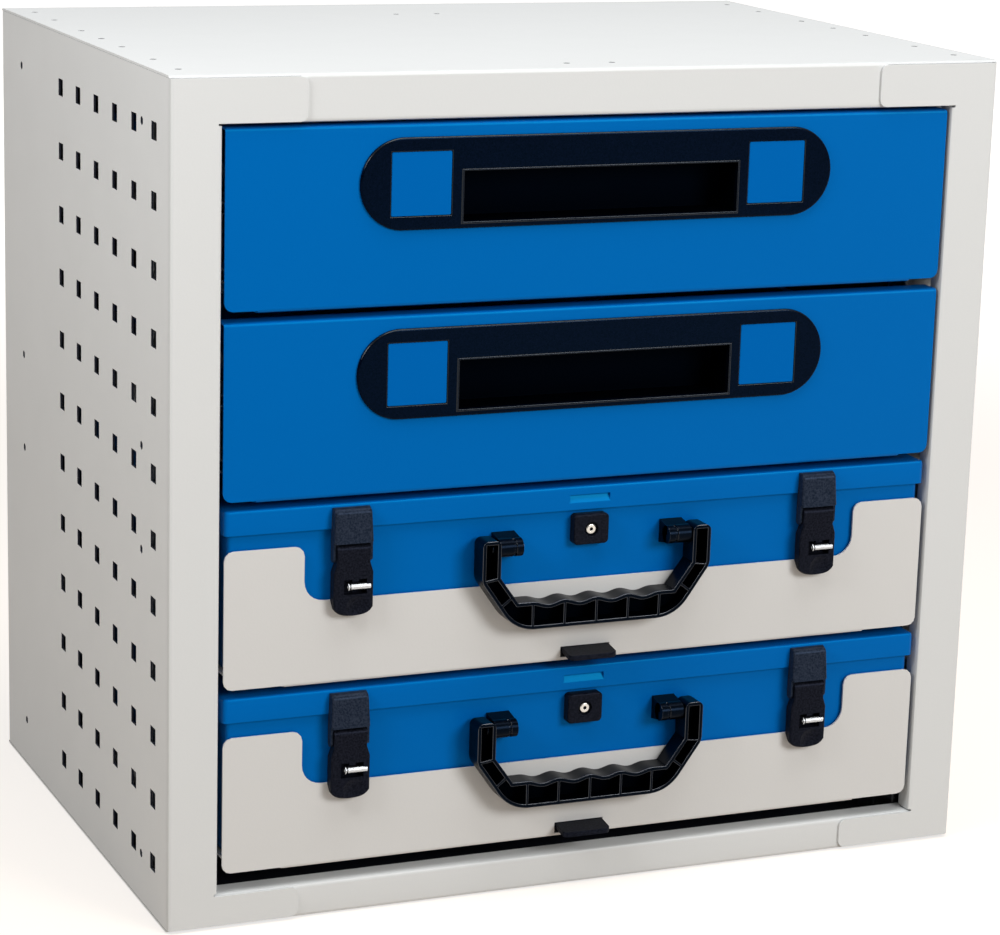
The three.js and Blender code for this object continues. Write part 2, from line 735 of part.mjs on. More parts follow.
// A rail with a shelf under the tray's ledge and a hood over it.
function trayGuide(side) {
  const at = (inward) => side * (postFaceX - inward);
  const ends = [frontY + guideFromFront, frontY + guideFromFront + guideLength];
  const shelfTop = trayLedgeRise - runningGap;
  const hoodTop = ledgeTop + guideHoodGap + guideSheet;
  const shelfBottom = shelfTop - guideSheet;
  const shelfEdge = postFaceX - trayFloorHalfWidth - guideShelfGap;
  const channel = prism(folded([[at(guideHood), hoodTop], [at(0), hoodTop], [at(0), shelfBottom],
    [at(shelfEdge), shelfBottom]], -side * guideSheet), 'y', ends);
  const hemTop = shelfTop - guideSheet / 2;
  const web = prism(folded([[at(shelfEdge), hemTop], [at(0), hemTop], [at(0), -guideDrop]],
    -side * guideSheet), 'y', ends);
  return join([channel, web]);
}

// A lever that is pressed down at its tab, which draws its tooth out of the case's floor.
function trayCatch() {
  const tipY = unitFrontY - catchProud;
  const tabBottom = catchTopHeight - catchThickness;
  const armHalf = catchThickness / 2;
  const arm = prism([[tipY, catchTopHeight - catchDroop], [tipY, tabBottom - catchDroop],
    [unitFrontY, tabBottom], [catchPivotY, catchPivotHeight - armHalf],
    [catchPivotY, catchPivotHeight + armHalf], [unitFrontY + traySheet, catchTopHeight],
    [unitFrontY, catchTopHeight]], 'x', centred(catchWidth));
  const [half, tipHalf] = [catchWidth / 2, catchTipWidth / 2];
  const plan = prism(rounded([[-tipHalf, tipY, catchTipRadius], [tipHalf, tipY, catchTipRadius],
    [half, unitFrontY], [half, catchPivotY + overrun], [-half, catchPivotY + overrun],
    [-half, unitFrontY]]), 'z', [-overrun, catchToothTop]);
  const barrel = rod('x', catchPivotY, catchPivotHeight, catchBarrelRadius, centred(catchWidth), pinSides);
  const pin = rod('x', catchPivotY, catchPivotHeight, catchPinRadius,
    centred(catchWidth + 2 * catchPinLength), pinSides);
  const toothY = unitFrontY + catchToothBack;
  const tooth = box(centred(catchToothWidth), [toothY, toothY + catchToothLength],
    [catchPivotHeight, catchToothTop]);
  return join([arm.intersect(plan), barrel, pin, tooth]);
}

// Carry cases

function caseShell(halfWidth, ys, corner, inset) {
  const [startY, endY] = ys;
  return rectangle(centred(2 * (halfWidth - inset)), [startY + inset, endY - inset], corner - inset);
}

function caseBody() {
  const ys = [bodyFrontY, bodyBackY];
  const high = lidTopHeight - caseSheet;
  const outside = eased(caseShell(bodyHalfWidth, ys, caseCorner, 0), 'z', high, ledgeTop, lidEdge);
  const inside = eased(caseShell(bodyHalfWidth, ys, caseCorner, caseSheet), 'z', high + overrun,
    ledgeTop + caseSheet, lidEdge - caseSheet);
  const toothY = unitFrontY + catchToothBack;
  const slot = box(centred(catchToothWidth + 2 * catchToothGap),
    [toothY - catchToothGap, toothY + catchToothLength + catchToothGap],
    [ledgeTop - overrun, ledgeTop + overrun]);
  return cut(outside, [inside, slot]);
}

function caseLid() {
  const ys = [unitFrontY, unitFrontY + lidDepth];
  const halfWidth = lidWidth / 2;
  const outside = eased(caseShell(halfWidth, ys, lidCorner, 0), 'z', lidBottomHeight, lidTopHeight, lidEdge);
  const inside = eased(caseShell(halfWidth, ys, lidCorner, caseSheet), 'z', lidBottomHeight - overrun,
    lidTopHeight - caseSheet, lidEdge - caseSheet);
  const dimpleTop = lidTopHeight - dimpleBelowTop;
  const dimple = box(centred(dimpleWidth), [unitFrontY - overrun, unitFrontY + dimpleDepth],
    [dimpleTop - dimpleHeight, dimpleTop]);
  return cut(outside, [inside, dimple]);
}

function caseHinge() {
  const lidBackY = unitFrontY + lidDepth;
  const axisY = bodyBackY + hingeBarrelRadius + runningGap;
  const axisZ = lidBottomHeight - hingeBarrelRadius - runningGap;
  const length = centred(hingeLength);
  const barrel = rod('x', axisY, axisZ, hingeBarrelRadius, length, pinSides);
  const lower = box(length, [bodyBackY, bodyBackY + hingeLeafThickness], [axisZ - hingeLeaf, axisZ]);
  const upper = box(length, [lidBackY, lidBackY + hingeLeafThickness], [axisZ, axisZ + hingeLeaf]);
  return join([barrel, lower, upper]);
}

// The handle hangs in front of the case as a bent channel that is open to the front.
function carryHandle() {
  const frontFace = handlePivotY - handleThickness / 2;
  const backFace = handlePivotY + handleThickness / 2;
  const [half, inner] = [handleWidth / 2, handleArmInner];
  const top = handlePivotHeight + handleArmAbove;
  const [knee, gripLow] = [handleKneeHeight, handleGripLow];
  const gripTop = gripLow + handleGripHeight;
  const scallopHalf = handleScallops * handleScallopPitch / 2;
  const scallops = [];
  for (let i = 0; i <= handleScallops * scallopSteps; i += 1) {
    const dip = handleScallopDepth * Math.abs(Math.sin((Math.PI * i) / scallopSteps));
    scallops.push([scallopHalf - (handleScallopPitch * i) / scallopSteps, gripTop - dip]);
  }
  const outline = rounded([[-half, top, handleArmRadius], [-half, knee, handleKneeRadius],
    [-handleOuterHalfWidth, gripLow, handleCornerRadius], [handleOuterHalfWidth, gripLow, handleCornerRadius],
    [half, knee, handleKneeRadius], [half, top, handleArmRadius], [inner, top, handleArmRadius],
    [inner, knee, handleKneeRadius], [handleInnerHalfWidth, gripTop, handleKneeRadius], ...scallops,
    [-handleInnerHalfWidth, gripTop, handleKneeRadius], [-inner, knee, handleKneeRadius],
    [-inner, top, handleArmRadius]]);
  const body = prism(outline, 'y', [frontFace, backFace]);
  const hollowEnds = [frontFace - overrun, backFace - handleFloor];
  const hollow = prism(shrunk(outline, handleWall), 'y', hollowEnds);
  const webs = [];
  for (let i = 0; i <= handleScallops; i += 1) {
    const x = scallopHalf - handleScallopPitch * i;
    webs.push(box([x - handleWeb / 2, x + handleWeb / 2], hollowEnds, [gripLow, gripTop]));
  }
  const bores = [];
  for (const [, side] of sides) {
    webs.push(box([side * (inner - overrun), side * half], hollowEnds,
      [knee - handleWeb / 2, knee + handleWeb / 2]));
    const across = new THREE.Vector2(side * (handleOuterHalfWidth - half), gripLow - knee).normalize();
    const start = new THREE.Vector2(side * handleInnerHalfWidth, gripTop);
    const normal = new THREE.Vector2(-across.y, across.x);
    const corners = [[-handleArmWidth, 0], [handleArmWidth * 2, 0], [handleArmWidth * 2, 1],
      [-handleArmWidth, 1]];
    webs.push(prism(corners.map(([along, layer]) => {
      const point = start.clone().addScaledVector(normal, side * -along);
      point.addScaledVector(across, layer * handleWeb);
      return [point.x, point.y];
    }), 'y', hollowEnds));
    bores.push(rod('x', handlePivotY, handlePivotHeight, handlePinRadius + runningGap,
      [side * (inner - overrun), side * (inner + handlePinReach + 2 * runningGap)], pinSides));
  }
  return cut(body, [cut(hollow, webs), ...bores]);
}

// A ribbed boss on a foot, which holds the pin of one arm of the handle.
function handleBracket(side) {
  const bossEnd = handleArmInner - runningGap;
  const bossStart = bossEnd - bossLength;
  const profile = (inset) => {
    const radius = bossRadius - inset;
    const nose = Array.from({ length: noseSteps + 1 }, (_, i) => {
      const angle = Math.PI * (3 / 2 - i / noseSteps);
      return [handlePivotY + radius * Math.cos(angle), handlePivotHeight + radius * Math.sin(angle)];
    });
    const foot = bracketHeight / 2 - inset;
    return [[bodyFrontY, handlePivotHeight - foot], ...nose, [bodyFrontY, handlePivotHeight + foot]];
  };
  const core = prism(profile(bossGrooveDepth), 'x', [side * bossStart, side * bossEnd]);
  const ribPitch = (bossLength - bossRibLength) / (bossRibs - 1);
  const ribs = Array.from({ length: bossRibs }, (_, i) => {
    const x = bossStart + i * ribPitch;
    return prism(profile(0), 'x', [side * x, side * (x + bossRibLength)]);
  });
  const pin = rod('x', handlePivotY, handlePivotHeight, handlePinRadius,
    [side * (bossEnd - bossRibLength / 2), side * (handleArmInner + handlePinReach)], pinSides);
  return join([core, ...ribs, pin]);
}

function lockPlate() {
  const faceY = bodyFrontY - lockProud;
  const plate = eased(rectangle(centred(lockWidth),
    [lockAxisHeight - lockHeight / 2, lockAxisHeight + lockHeight / 2], lockCorner),
  'y', bodyFrontY, faceY, lockEdge);
  const recess = rod('y', 0, lockAxisHeight, lockRecessRadius, [faceY - overrun, faceY + lockRecessDepth]);
  const bore = rod('y', 0, lockAxisHeight, lockBoreRadius, [faceY - overrun, faceY + lockBoreDepth]);
  return cut(plate, [recess, bore]);
}

function lockCylinder() {
  const faceY = bodyFrontY - lockProud;
  const round = circle(0, lockAxisHeight, lockCylinderRadius, roundSides);
  const plug = eased(round, 'y', faceY + lockBoreDepth - runningGap, faceY, lockCylinderEdge);
  const ends = [faceY - overrun, faceY + keyholeDepth];
  const keyhole = rod('y', 0, lockAxisHeight, keyholeRadius, ends, holeSides);
  const slot = box(centred(keySlotWidth), ends,
    [lockAxisHeight - keySlotHeight / 2, lockAxisHeight + keySlotHeight / 2]);
  return cut(plug, [keyhole, slot]);
}

// The latch bracket on the lid: a cap, two cheeks below it and the pin between them.
function latchBracket(side) {
  const block = eased(rectangle(centred(latchCapWidth), [latchCapBottom, latchCapTop], latchCapCorner),
    'y', unitFrontY, unitFrontY - latchCapProud, latchCapEdge);
  const [cheekTop, cheekBottom] = [latchCapBottom + latchCapCorner, latchPivotHeight - latchCheekDrop];
  const cheekProfile = rounded([[unitFrontY - latchCheekProud, cheekTop],
    [unitFrontY - latchCheekProud, cheekBottom, latchCheekRadius],
    [unitFrontY, cheekBottom, latchCheekRadius], [unitFrontY, cheekTop]]);
  const cheeks = [-1, 1].map((end) => prism(cheekProfile, 'x',
    [end * latchCheekWidth / 2, end * (latchCheekWidth / 2 - latchCheekThickness)]));
  const pin = rod('x', latchPivotY, latchPivotHeight, latchPinRadius,
    centred(latchCheekWidth - latchCheekThickness), pinSides);
  return join([block, ...cheeks, pin]).translate([side * latchSpacing / 2, 0, 0]);
}

function latchLever(side) {
  const frontFace = latchPivotY - leverThickness / 2;
  const backFace = latchPivotY + leverThickness / 2;
  const neck = box(centred(leverNeckWidth), [frontFace, backFace],
    [leverFlareBottom - leverEdge, latchPivotHeight]);
  const barrel = rod('x', latchPivotY, latchPivotHeight, leverThickness / 2, centred(leverNeckWidth));
  const [half, neckHalf, tipHalf] = [leverWidth / 2, leverNeckWidth / 2, leverTipWidth / 2];
  const paddle = eased(rounded([[-neckHalf, leverNeckBottom], [-half, leverFlareBottom],
    [-half, leverRoundTop], [-tipHalf, leverBottom, leverTipRadius],
    [tipHalf, leverBottom, leverTipRadius], [half, leverRoundTop],
    [half, leverFlareBottom], [neckHalf, leverNeckBottom]]), 'y', backFace, frontFace, leverEdge);
  const window = box(centred(leverWindowWidth), [frontFace - overrun, backFace + overrun],
    [leverWindowAxis - leverWindowHeight / 2, leverWindowAxis + leverWindowHeight / 2]);
  const scoop = rod('x', frontFace + scoopDepth - scoopRadius, latchPivotHeight - scoopDrop,
    scoopRadius, centred(2 * leverWidth), 2 * roundSides);
  const bore = rod('x', latchPivotY, latchPivotHeight, latchPinRadius + runningGap, centred(2 * leverWidth),
    pinSides);
  const lever = cut(join([neck, barrel, paddle]), [window, scoop, bore]);
  const crossPin = rod('x', latchPivotY, leverWindowAxis, crossPinRadius,
    centred(leverWindowWidth + 2 * crossPinSeat), pinSides);
  const ring = rod('x', latchPivotY, leverWindowAxis, crossPinRing,
    [-leverWindowWidth / 2 - crossPinSeat, -leverWindowWidth / 2 + crossPinRingLength], pinSides);
  return join([lever, crossPin, ring]).translate([side * latchSpacing / 2, 0, 0]);
}

trayBases.forEach((base, i) => {
  const tray = `tray_${i + 1}`;
  const carryCase = `case_${i + 1}`;
  add(tray, trayPan(), trayPaint, base);
  add(`${tray}_catch`, trayCatch(), blackPlastic, base);
  add(`${carryCase}_body`, caseBody(), bluePaint, base);
  add(`${carryCase}_lid`, caseLid(), bluePaint, base);
  add(`${carryCase}_hinge`, caseHinge(), zincPlate, base);
  add(`${carryCase}_handle`, carryHandle(), blackPlastic, base);
  add(`${carryCase}_lock_plate`, lockPlate(), blackPlastic, base);
  add(`${carryCase}_lock_cylinder`, lockCylinder(), nickelPlate, base);
  for (const [name, side] of sides) {
    add(`${tray}_${name}_guide`, trayGuide(side), zincPlate, base);
    add(`${carryCase}_${name}_handle_bracket`, handleBracket(side), blackPlastic, base);
    add(`${carryCase}_${name}_latch_bracket`, latchBracket(side), blackPlastic, base);
    add(`${carryCase}_${name}_latch_lever`, latchLever(side), blackPlastic, base);
  }
});

export default group;
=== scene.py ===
# %% [markdown]
# # A drawer cabinet with two drawers and two carry cases
# This lesson dresses a cabinet of folded sheet steel. Its measured solids come from a
# imported model, the frame, and every length below is in metres in that frame. The first
# step loads the frame and keeps its box.

# %% Load the frame
import json
import math
import bmesh
import bpy
from mathutils import Matrix, Vector

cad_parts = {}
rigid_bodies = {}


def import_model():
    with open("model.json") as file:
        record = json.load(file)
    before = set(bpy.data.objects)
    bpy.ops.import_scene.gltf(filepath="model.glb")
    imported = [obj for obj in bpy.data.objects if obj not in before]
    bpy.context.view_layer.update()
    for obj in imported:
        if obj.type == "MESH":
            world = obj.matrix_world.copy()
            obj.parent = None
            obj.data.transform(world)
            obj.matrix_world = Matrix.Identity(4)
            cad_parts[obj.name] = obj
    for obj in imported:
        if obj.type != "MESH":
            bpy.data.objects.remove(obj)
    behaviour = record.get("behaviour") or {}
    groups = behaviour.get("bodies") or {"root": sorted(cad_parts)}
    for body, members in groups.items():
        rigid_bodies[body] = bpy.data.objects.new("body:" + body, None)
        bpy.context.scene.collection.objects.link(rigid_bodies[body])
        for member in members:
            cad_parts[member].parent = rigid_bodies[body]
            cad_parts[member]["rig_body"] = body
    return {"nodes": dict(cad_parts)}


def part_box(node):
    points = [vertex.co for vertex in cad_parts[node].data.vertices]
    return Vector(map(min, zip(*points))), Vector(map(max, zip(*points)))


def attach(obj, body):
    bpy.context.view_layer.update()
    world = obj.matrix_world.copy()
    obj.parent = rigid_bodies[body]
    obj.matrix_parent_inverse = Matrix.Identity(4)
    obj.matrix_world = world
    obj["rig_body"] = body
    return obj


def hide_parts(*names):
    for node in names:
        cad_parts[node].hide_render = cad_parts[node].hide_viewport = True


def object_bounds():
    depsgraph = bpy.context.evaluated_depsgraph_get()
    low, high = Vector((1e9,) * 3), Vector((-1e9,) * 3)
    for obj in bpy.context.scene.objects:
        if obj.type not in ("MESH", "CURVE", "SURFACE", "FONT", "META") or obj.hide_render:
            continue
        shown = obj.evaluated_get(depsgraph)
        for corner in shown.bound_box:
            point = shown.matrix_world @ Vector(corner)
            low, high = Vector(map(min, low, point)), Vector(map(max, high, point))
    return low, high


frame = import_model()
box_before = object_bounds()
MM = 0.001
print("cabinet box", [round(value, 4) for corner in box_before for value in corner])

# %% [markdown]
# ## The camera
# The picture was taken from the left, a little above the cabinet. A long lens keeps the
# upright edges nearly parallel. The place and the three directions of the camera were
# worked out from the straight edges of the cabinet, so they are written as they are. A
# camera looks along its own minus Z, with plus X to its right and plus Y up.

# %% Place the camera
PICTURE_WIDTH = 1000
PICTURE_HEIGHT = 935
FOCAL_PIXELS = 3205.5
CENTRE_COLUMN = 522.97
CENTRE_ROW = 497.60
SENSOR = 36.0

camera_place = Vector((-0.75256, -1.80711, 0.68743))
camera_right = Vector((0.91931, -0.39239, 0.02995)).normalized()
camera_forward = Vector((0.38738, 0.88889, -0.24456)).normalized()
camera_up = camera_right.cross(camera_forward).normalized()
camera_back = -camera_forward

camera = bpy.data.cameras.new("camera")
camera.sensor_width = SENSOR
camera.lens = FOCAL_PIXELS * SENSOR / PICTURE_WIDTH
camera.shift_x = (PICTURE_WIDTH / 2 - CENTRE_COLUMN) / PICTURE_WIDTH
camera.shift_y = (CENTRE_ROW - PICTURE_HEIGHT / 2) / PICTURE_WIDTH
camera_object = bpy.data.objects.new("camera", camera)
bpy.context.scene.collection.objects.link(camera_object)
turn = Matrix((camera_right, camera_up, camera_back)).transposed()
camera_object.matrix_world = Matrix.Translation(camera_place) @ turn.to_4x4()
bpy.context.scene.camera = camera_object
print("lens", round(camera.lens, 2), "shift", round(camera.shift_x, 4), round(camera.shift_y, 4))

# %% [markdown]
# ## Sums with node sockets
# A finish is a network of nodes. To write its sums as plain expressions, a small class
# wraps a socket and gives it the signs for adding, subtracting and multiplying. The
# finish itself is a second class, whose one method adds any node: its settings go in
# first, then the values or links of its sockets.

# %% Write sums and finishes
# A Mix node keeps its two colours and their mixture at these sockets.
MIX_FIRST, MIX_SECOND, MIX_RESULT = 6, 7, 2


class Signal:
    """One output socket, which can be used in sums as a number is."""

    def __init__(self, finish, socket):
        self.finish = finish
        self.socket = socket

    def sum(self, operation, first, second):
        return self.finish.node("ShaderNodeMath", {"operation": operation}, {0: first, 1: second})

    def __add__(self, other):
        return self.sum("ADD", self, other)

    def __radd__(self, other):
        return self.sum("ADD", other, self)

    def __sub__(self, other):
        return self.sum("SUBTRACT", self, other)

    def __rsub__(self, other):
        return self.sum("SUBTRACT", other, self)

    def __mul__(self, other):
        return self.sum("MULTIPLY", self, other)

    def __rmul__(self, other):
        return self.sum("MULTIPLY", other, self)


class Finish:
    """A material and its nodes, with the shader that they feed."""

    def __init__(self, name):
        self.material = bpy.data.materials.new(name)
        self.material.use_nodes = True
        self.tree = self.material.node_tree
        self.shader = self.tree.nodes["Principled BSDF"]

    def node(self, kind, settings=None, inputs=None, output=0):
        made = self.tree.nodes.new(kind)
        for name, value in (settings or {}).items():
            setattr(made, name, value)
        for name, value in (inputs or {}).items():
            if isinstance(value, Signal):
                self.tree.links.new(value.socket, made.inputs[name])
            else:
                made.inputs[name].default_value = value
        return Signal(self, made.outputs[output])

    def feed(self, name, value):
        """Give one of the shader's sockets a value or a link."""
        if isinstance(value, Signal):
            self.tree.links.new(value.socket, self.shader.inputs[name])
        else:
            self.shader.inputs[name].default_value = value

    def grain(self, scale, detail=2.0, roughness=0.5):
        """Noise between 0 and 1 over the piece, with so many waves to the metre."""
        place = self.node("ShaderNodeTexCoord", output="Object")
        return self.node("ShaderNodeTexNoise", {"noise_dimensions": "3D"},
                         {"Vector": place, "Scale": scale, "Detail": detail, "Roughness": roughness})

    def blend(self, amount, first, second):
        """A colour between two colours."""
        return self.node("ShaderNodeMix", {"data_type": "RGBA"},
                         {"Factor": amount, MIX_FIRST: first, MIX_SECOND: second}, output=MIX_RESULT)

    def bump(self, height, distance, strength=1.0):
        """A surface that stands up by a distance where the height is 1."""
        return self.node("ShaderNodeBump", inputs={"Height": height, "Distance": distance,
                                                   "Strength": strength})


print("maths nodes ready")

# %% [markdown]
# ## Powder coat
# The sheets are coated with baked powder. Baked powder is smooth but never quite flat:
# a faint ripple, as on orange peel, breaks up the reflections, and the gloss changes a
# little over a panel. The ripple is a small bump from fine noise, and broader, weaker
# noises move the roughness and the colour. The deep blue swallows red light even in its
# shine, so the tint of its reflection is set as well. A nearly black coat is made as
# painted shade for the walls of small holes and for the deep inside, where shade falls.

# %% Make the coats
BROAD_WAVES = 3.0
CLOUD_WAVES = 38.0
PEEL_WAVES = 620.0
SPECK_WAVES = 1500.0
BROAD_SHARE = 0.5
CLOUD_SHARE = 0.2
SPECK_SHARE = 0.5
EVEN_SHARE = 0.1
CLOUD_ROUGHENING = 0.08
PEEL_ROUGHENING = 0.05
COAT_SMOOTHING = 0.06
PEEL_STRENGTH = 0.35
FILM_RIPPLE = 0.02 * MM
THIN_RIPPLE = 0.05 * MM
CABINET_RIPPLE = 0.10 * MM
PANEL_RIPPLE = 0.12 * MM
PALE_TINT = (1, 1, 1, 1)
BLUE_TINT = (0.0, 0.75, 1.0, 1)


def powder_coat(name, colour, depth_colour, roughness, shine, tint, ripple):
    """Baked powder between two shades, with its orange peel."""
    finish = Finish(name)
    broad = finish.grain(scale=BROAD_WAVES, detail=2.0)
    cloud = finish.grain(scale=CLOUD_WAVES, detail=4.0)
    peel = finish.grain(scale=PEEL_WAVES, detail=3.0, roughness=0.6)
    speck = finish.grain(scale=SPECK_WAVES, detail=2.0, roughness=0.7)
    depth = broad * BROAD_SHARE + cloud * CLOUD_SHARE + speck * SPECK_SHARE - EVEN_SHARE
    finish.feed("Base Color", finish.blend(depth, colour, depth_colour))
    finish.feed("Roughness", roughness - COAT_SMOOTHING + cloud * CLOUD_ROUGHENING + peel * PEEL_ROUGHENING)
    finish.feed("Specular IOR Level", shine)
    finish.feed("Specular Tint", tint)
    finish.feed("Normal", finish.bump(peel, distance=ripple, strength=PEEL_STRENGTH))
    return finish.material


cabinet_coat = powder_coat("cabinet_coat", (0.70, 0.715, 0.715, 1), (0.665, 0.68, 0.68, 1),
                           roughness=0.38, shine=0.4, tint=PALE_TINT, ripple=CABINET_RIPPLE)
# Painted shade: a nearly black coat for the walls of holes and the deep inside.
thin_coat = powder_coat("thin_coat", (0.03, 0.034, 0.05, 1), (0.022, 0.025, 0.04, 1),
                        roughness=0.6, shine=0.1, tint=PALE_TINT, ripple=THIN_RIPPLE)
blue_coat = powder_coat("blue_coat", (0.0, 0.122, 0.445, 1), (0.0, 0.106, 0.405, 1),
                        roughness=0.34, shine=0.3, tint=BLUE_TINT, ripple=PANEL_RIPPLE)
tray_coat = powder_coat("tray_coat", (0.675, 0.675, 0.665, 1), (0.635, 0.633, 0.622, 1),
                        roughness=0.44, shine=0.3, tint=PALE_TINT, ripple=PANEL_RIPPLE)
label_film = powder_coat("label_film", (0.0, 0.122, 0.44, 1), (0.0, 0.112, 0.42, 1),
                         roughness=0.42, shine=0.1, tint=BLUE_TINT, ripple=FILM_RIPPLE)
print("coats ready")

# %% [markdown]
# ## Moulded plastic and bright metal
# Moulded grips and latches have a spark-eroded texture: fine grains that stand up by a
# few hundredths of a millimetre. The edges of a grip and of a handle get glossier, a little
# lighter plastics of their own, as painted highlight, and the hollows get a dull, nearly
# black one, as painted shade. The cap of a latch gets a lighter, glossier copy of the latch
# plastic, as painted light on its face that tilts up. Zinc plate on pressed steel shows a
# soft cloud of crystals and the lines of the rolling mill. Nickel on the lock is polished,
# with the fine lines that the polishing wheel leaves.

# %% Make the plastics and metals
FINE_WAVES = 1100.0
SPARKED_WAVES = 900.0
PATCH_WAVES = 60.0
SPECKLE_CONTRAST = 4.0
SPECKLE_START = 1.5
PATCH_ROUGHENING = 0.06
GRAIN_ROUGHENING = 0.08
PLASTIC_SMOOTHING = 0.05
GRAIN_STRENGTH = 0.5
EDGE_HIGHLIGHT_GRAIN = 0.005 * MM
MOULD_GRAIN = 0.01 * MM
GRIP_GRAIN = 0.015 * MM
SPARKED_GRAIN = 0.05 * MM
COOL_TINT = (0.12, 0.40, 1.0, 1)
LINE_WAVES = 12.0
CRYSTAL_WAVES = 140.0
LINE_ROUGHENING = 0.12
CRYSTAL_ROUGHENING = 0.06
METAL_SMOOTHING = 0.08
LINE_DEPTH = 0.01 * MM
LINE_STRENGTH = 0.3


def moulded_plastic(name, colour, light_colour, roughness, shine, tint, grain_height, waves=FINE_WAVES):
    """Plastic between two shades, with the grain of its mould."""
    finish = Finish(name)
    grain = finish.grain(scale=waves, detail=3.0, roughness=0.65)
    patches = finish.grain(scale=PATCH_WAVES, detail=2.0)
    speckle = grain * SPECKLE_CONTRAST - SPECKLE_START
    dullness = roughness - PLASTIC_SMOOTHING + patches * PATCH_ROUGHENING + grain * GRAIN_ROUGHENING
    finish.feed("Base Color", finish.blend(speckle, colour, light_colour))
    finish.feed("Roughness", dullness)
    finish.feed("Specular IOR Level", shine)
    finish.feed("Specular Tint", tint)
    finish.feed("Normal", finish.bump(grain, distance=grain_height, strength=GRAIN_STRENGTH))
    return finish.material


def plated_metal(name, colour, darker, roughness, line_stretch):
    """Metal between two shades, with lines that are long where the stretch is small."""
    finish = Finish(name)
    place = finish.node("ShaderNodeTexCoord", output="Object")
    stretched = finish.node("ShaderNodeVectorMath", {"operation": "MULTIPLY"},
                            {0: place, 1: line_stretch})
    lines = finish.node("ShaderNodeTexNoise", {"noise_dimensions": "3D"},
                        {"Vector": stretched, "Scale": LINE_WAVES, "Detail": 3.0})
    cloud = finish.grain(scale=CRYSTAL_WAVES, detail=3.0)
    dullness = roughness - METAL_SMOOTHING + lines * LINE_ROUGHENING + cloud * CRYSTAL_ROUGHENING
    finish.feed("Base Color", finish.blend(cloud, colour, darker))
    finish.feed("Metallic", 1.0)
    finish.feed("Roughness", dullness)
    finish.feed("Normal", finish.bump(lines, distance=LINE_DEPTH, strength=LINE_STRENGTH))
    return finish.material


grip_plastic = moulded_plastic("grip_plastic", (0.0001, 0.0004, 0.0015, 1), (0.001, 0.002, 0.007, 1),
                               roughness=0.15, shine=0.10, tint=COOL_TINT, grain_height=GRIP_GRAIN)
# Painted light: the cap's plastic is a lighter, glossier copy of the latch plastic, for a face that tilts
# up to the lamps.
cap_plastic = moulded_plastic("cap_plastic", (0.003, 0.006, 0.013, 1), (0.020, 0.026, 0.042, 1),
                              roughness=0.34, shine=0.16, tint=(0.4, 0.6, 1.0, 1),
                              grain_height=SPARKED_GRAIN, waves=SPARKED_WAVES)
latch_plastic = moulded_plastic("latch_plastic", (0.0006, 0.001, 0.002, 1), (0.010, 0.011, 0.017, 1),
                                roughness=0.36, shine=0.08, tint=(0.5, 0.6, 1.0, 1),
                                grain_height=SPARKED_GRAIN, waves=SPARKED_WAVES)
handle_plastic = moulded_plastic("handle_plastic", (0.0001, 0.0003, 0.0008, 1),
                                 (0.0005, 0.0009, 0.002, 1), roughness=0.28, shine=0.10,
                                 tint=(0.2, 0.4, 0.8, 1), grain_height=MOULD_GRAIN)
# Painted shade: a dull, nearly black plastic for the hollows of grips and handles, where shade falls.
hollow_plastic = moulded_plastic("hollow_plastic", (0.00005, 0.0001, 0.0004, 1),
                                 (0.0002, 0.0004, 0.001, 1), roughness=0.5, shine=0.03,
                                 tint=COOL_TINT, grain_height=MOULD_GRAIN)
# Painted highlight: the two edge plastics below are glossier and a little lighter, so that bevelled edges
# shine as bright lines.
worn_edge = moulded_plastic("worn_edge", (0.001, 0.0015, 0.003, 1), (0.003, 0.004, 0.006, 1),
                            roughness=0.22, shine=0.42, tint=(0.8, 0.9, 1.0, 1),
                            grain_height=EDGE_HIGHLIGHT_GRAIN)
polished_edge = moulded_plastic("polished_edge", (0.001, 0.0015, 0.003, 1), (0.004, 0.005, 0.008, 1),
                                roughness=0.20, shine=0.9, tint=(0.85, 0.9, 1.0, 1),
                                grain_height=EDGE_HIGHLIGHT_GRAIN)
zinc_plate = plated_metal("zinc_plate", (0.60, 0.62, 0.64, 1), (0.50, 0.52, 0.54, 1),
                          roughness=0.36, line_stretch=(40.0, 1.0, 40.0))
nickel_plate = plated_metal("nickel_plate", (0.70, 0.68, 0.64, 1), (0.64, 0.62, 0.58, 1),
                            roughness=0.24, line_stretch=(6.0, 1.0, 6.0))
print("plastics and metals ready")

# %% [markdown]
# ## Sheet pieces with broken edges
# A punched and folded sheet has no knife edges: the coat rounds every cut edge. The
# solids of the frame are sharp and made of loose triangles, so each visible sheet is
# copied, its doubled points are merged, its flat triangles are joined, and a narrow bevel
# is put on what is left of the sharp edges. The weighted normals keep the broad flats flat
# and let only the narrow bevels turn the light. The copy then stands for the solid.

# %% Write the tools for a copied sheet
X, Y, Z = 0, 1, 2
SHEET_EDGE = 0.3 * MM
TRAY_EDGE = 0.6 * MM
DOUBLED = 0.005 * MM
LEAST_FLAT = 0.05 * MM
FLAT_ANGLE = math.radians(1)
SMOOTH_ANGLE = math.radians(50)
SHARP_ANGLE = math.radians(40)
SLIGHT_ANGLE = math.radians(30)
BROAD_FACES_RULE = 100

def only(piece):
    """Make one object the selected and active one."""
    bpy.ops.object.select_all(action="DESELECT")
    piece.select_set(True)
    bpy.context.view_layer.objects.active = piece


def paint(piece, material):
    """Give the whole piece one finish."""
    piece.data.materials.clear()
    piece.data.materials.append(material)


def flat_shading(piece):
    """Smooth the small turns, and let the broad faces rule the shading beside them."""
    only(piece)
    bpy.ops.object.shade_smooth_by_angle(angle=SMOOTH_ANGLE)
    weighted = piece.modifiers.new("weighted normals", "WEIGHTED_NORMAL")
    weighted.keep_sharp = True
    weighted.weight = BROAD_FACES_RULE
    bpy.ops.object.modifier_apply(modifier=weighted.name)


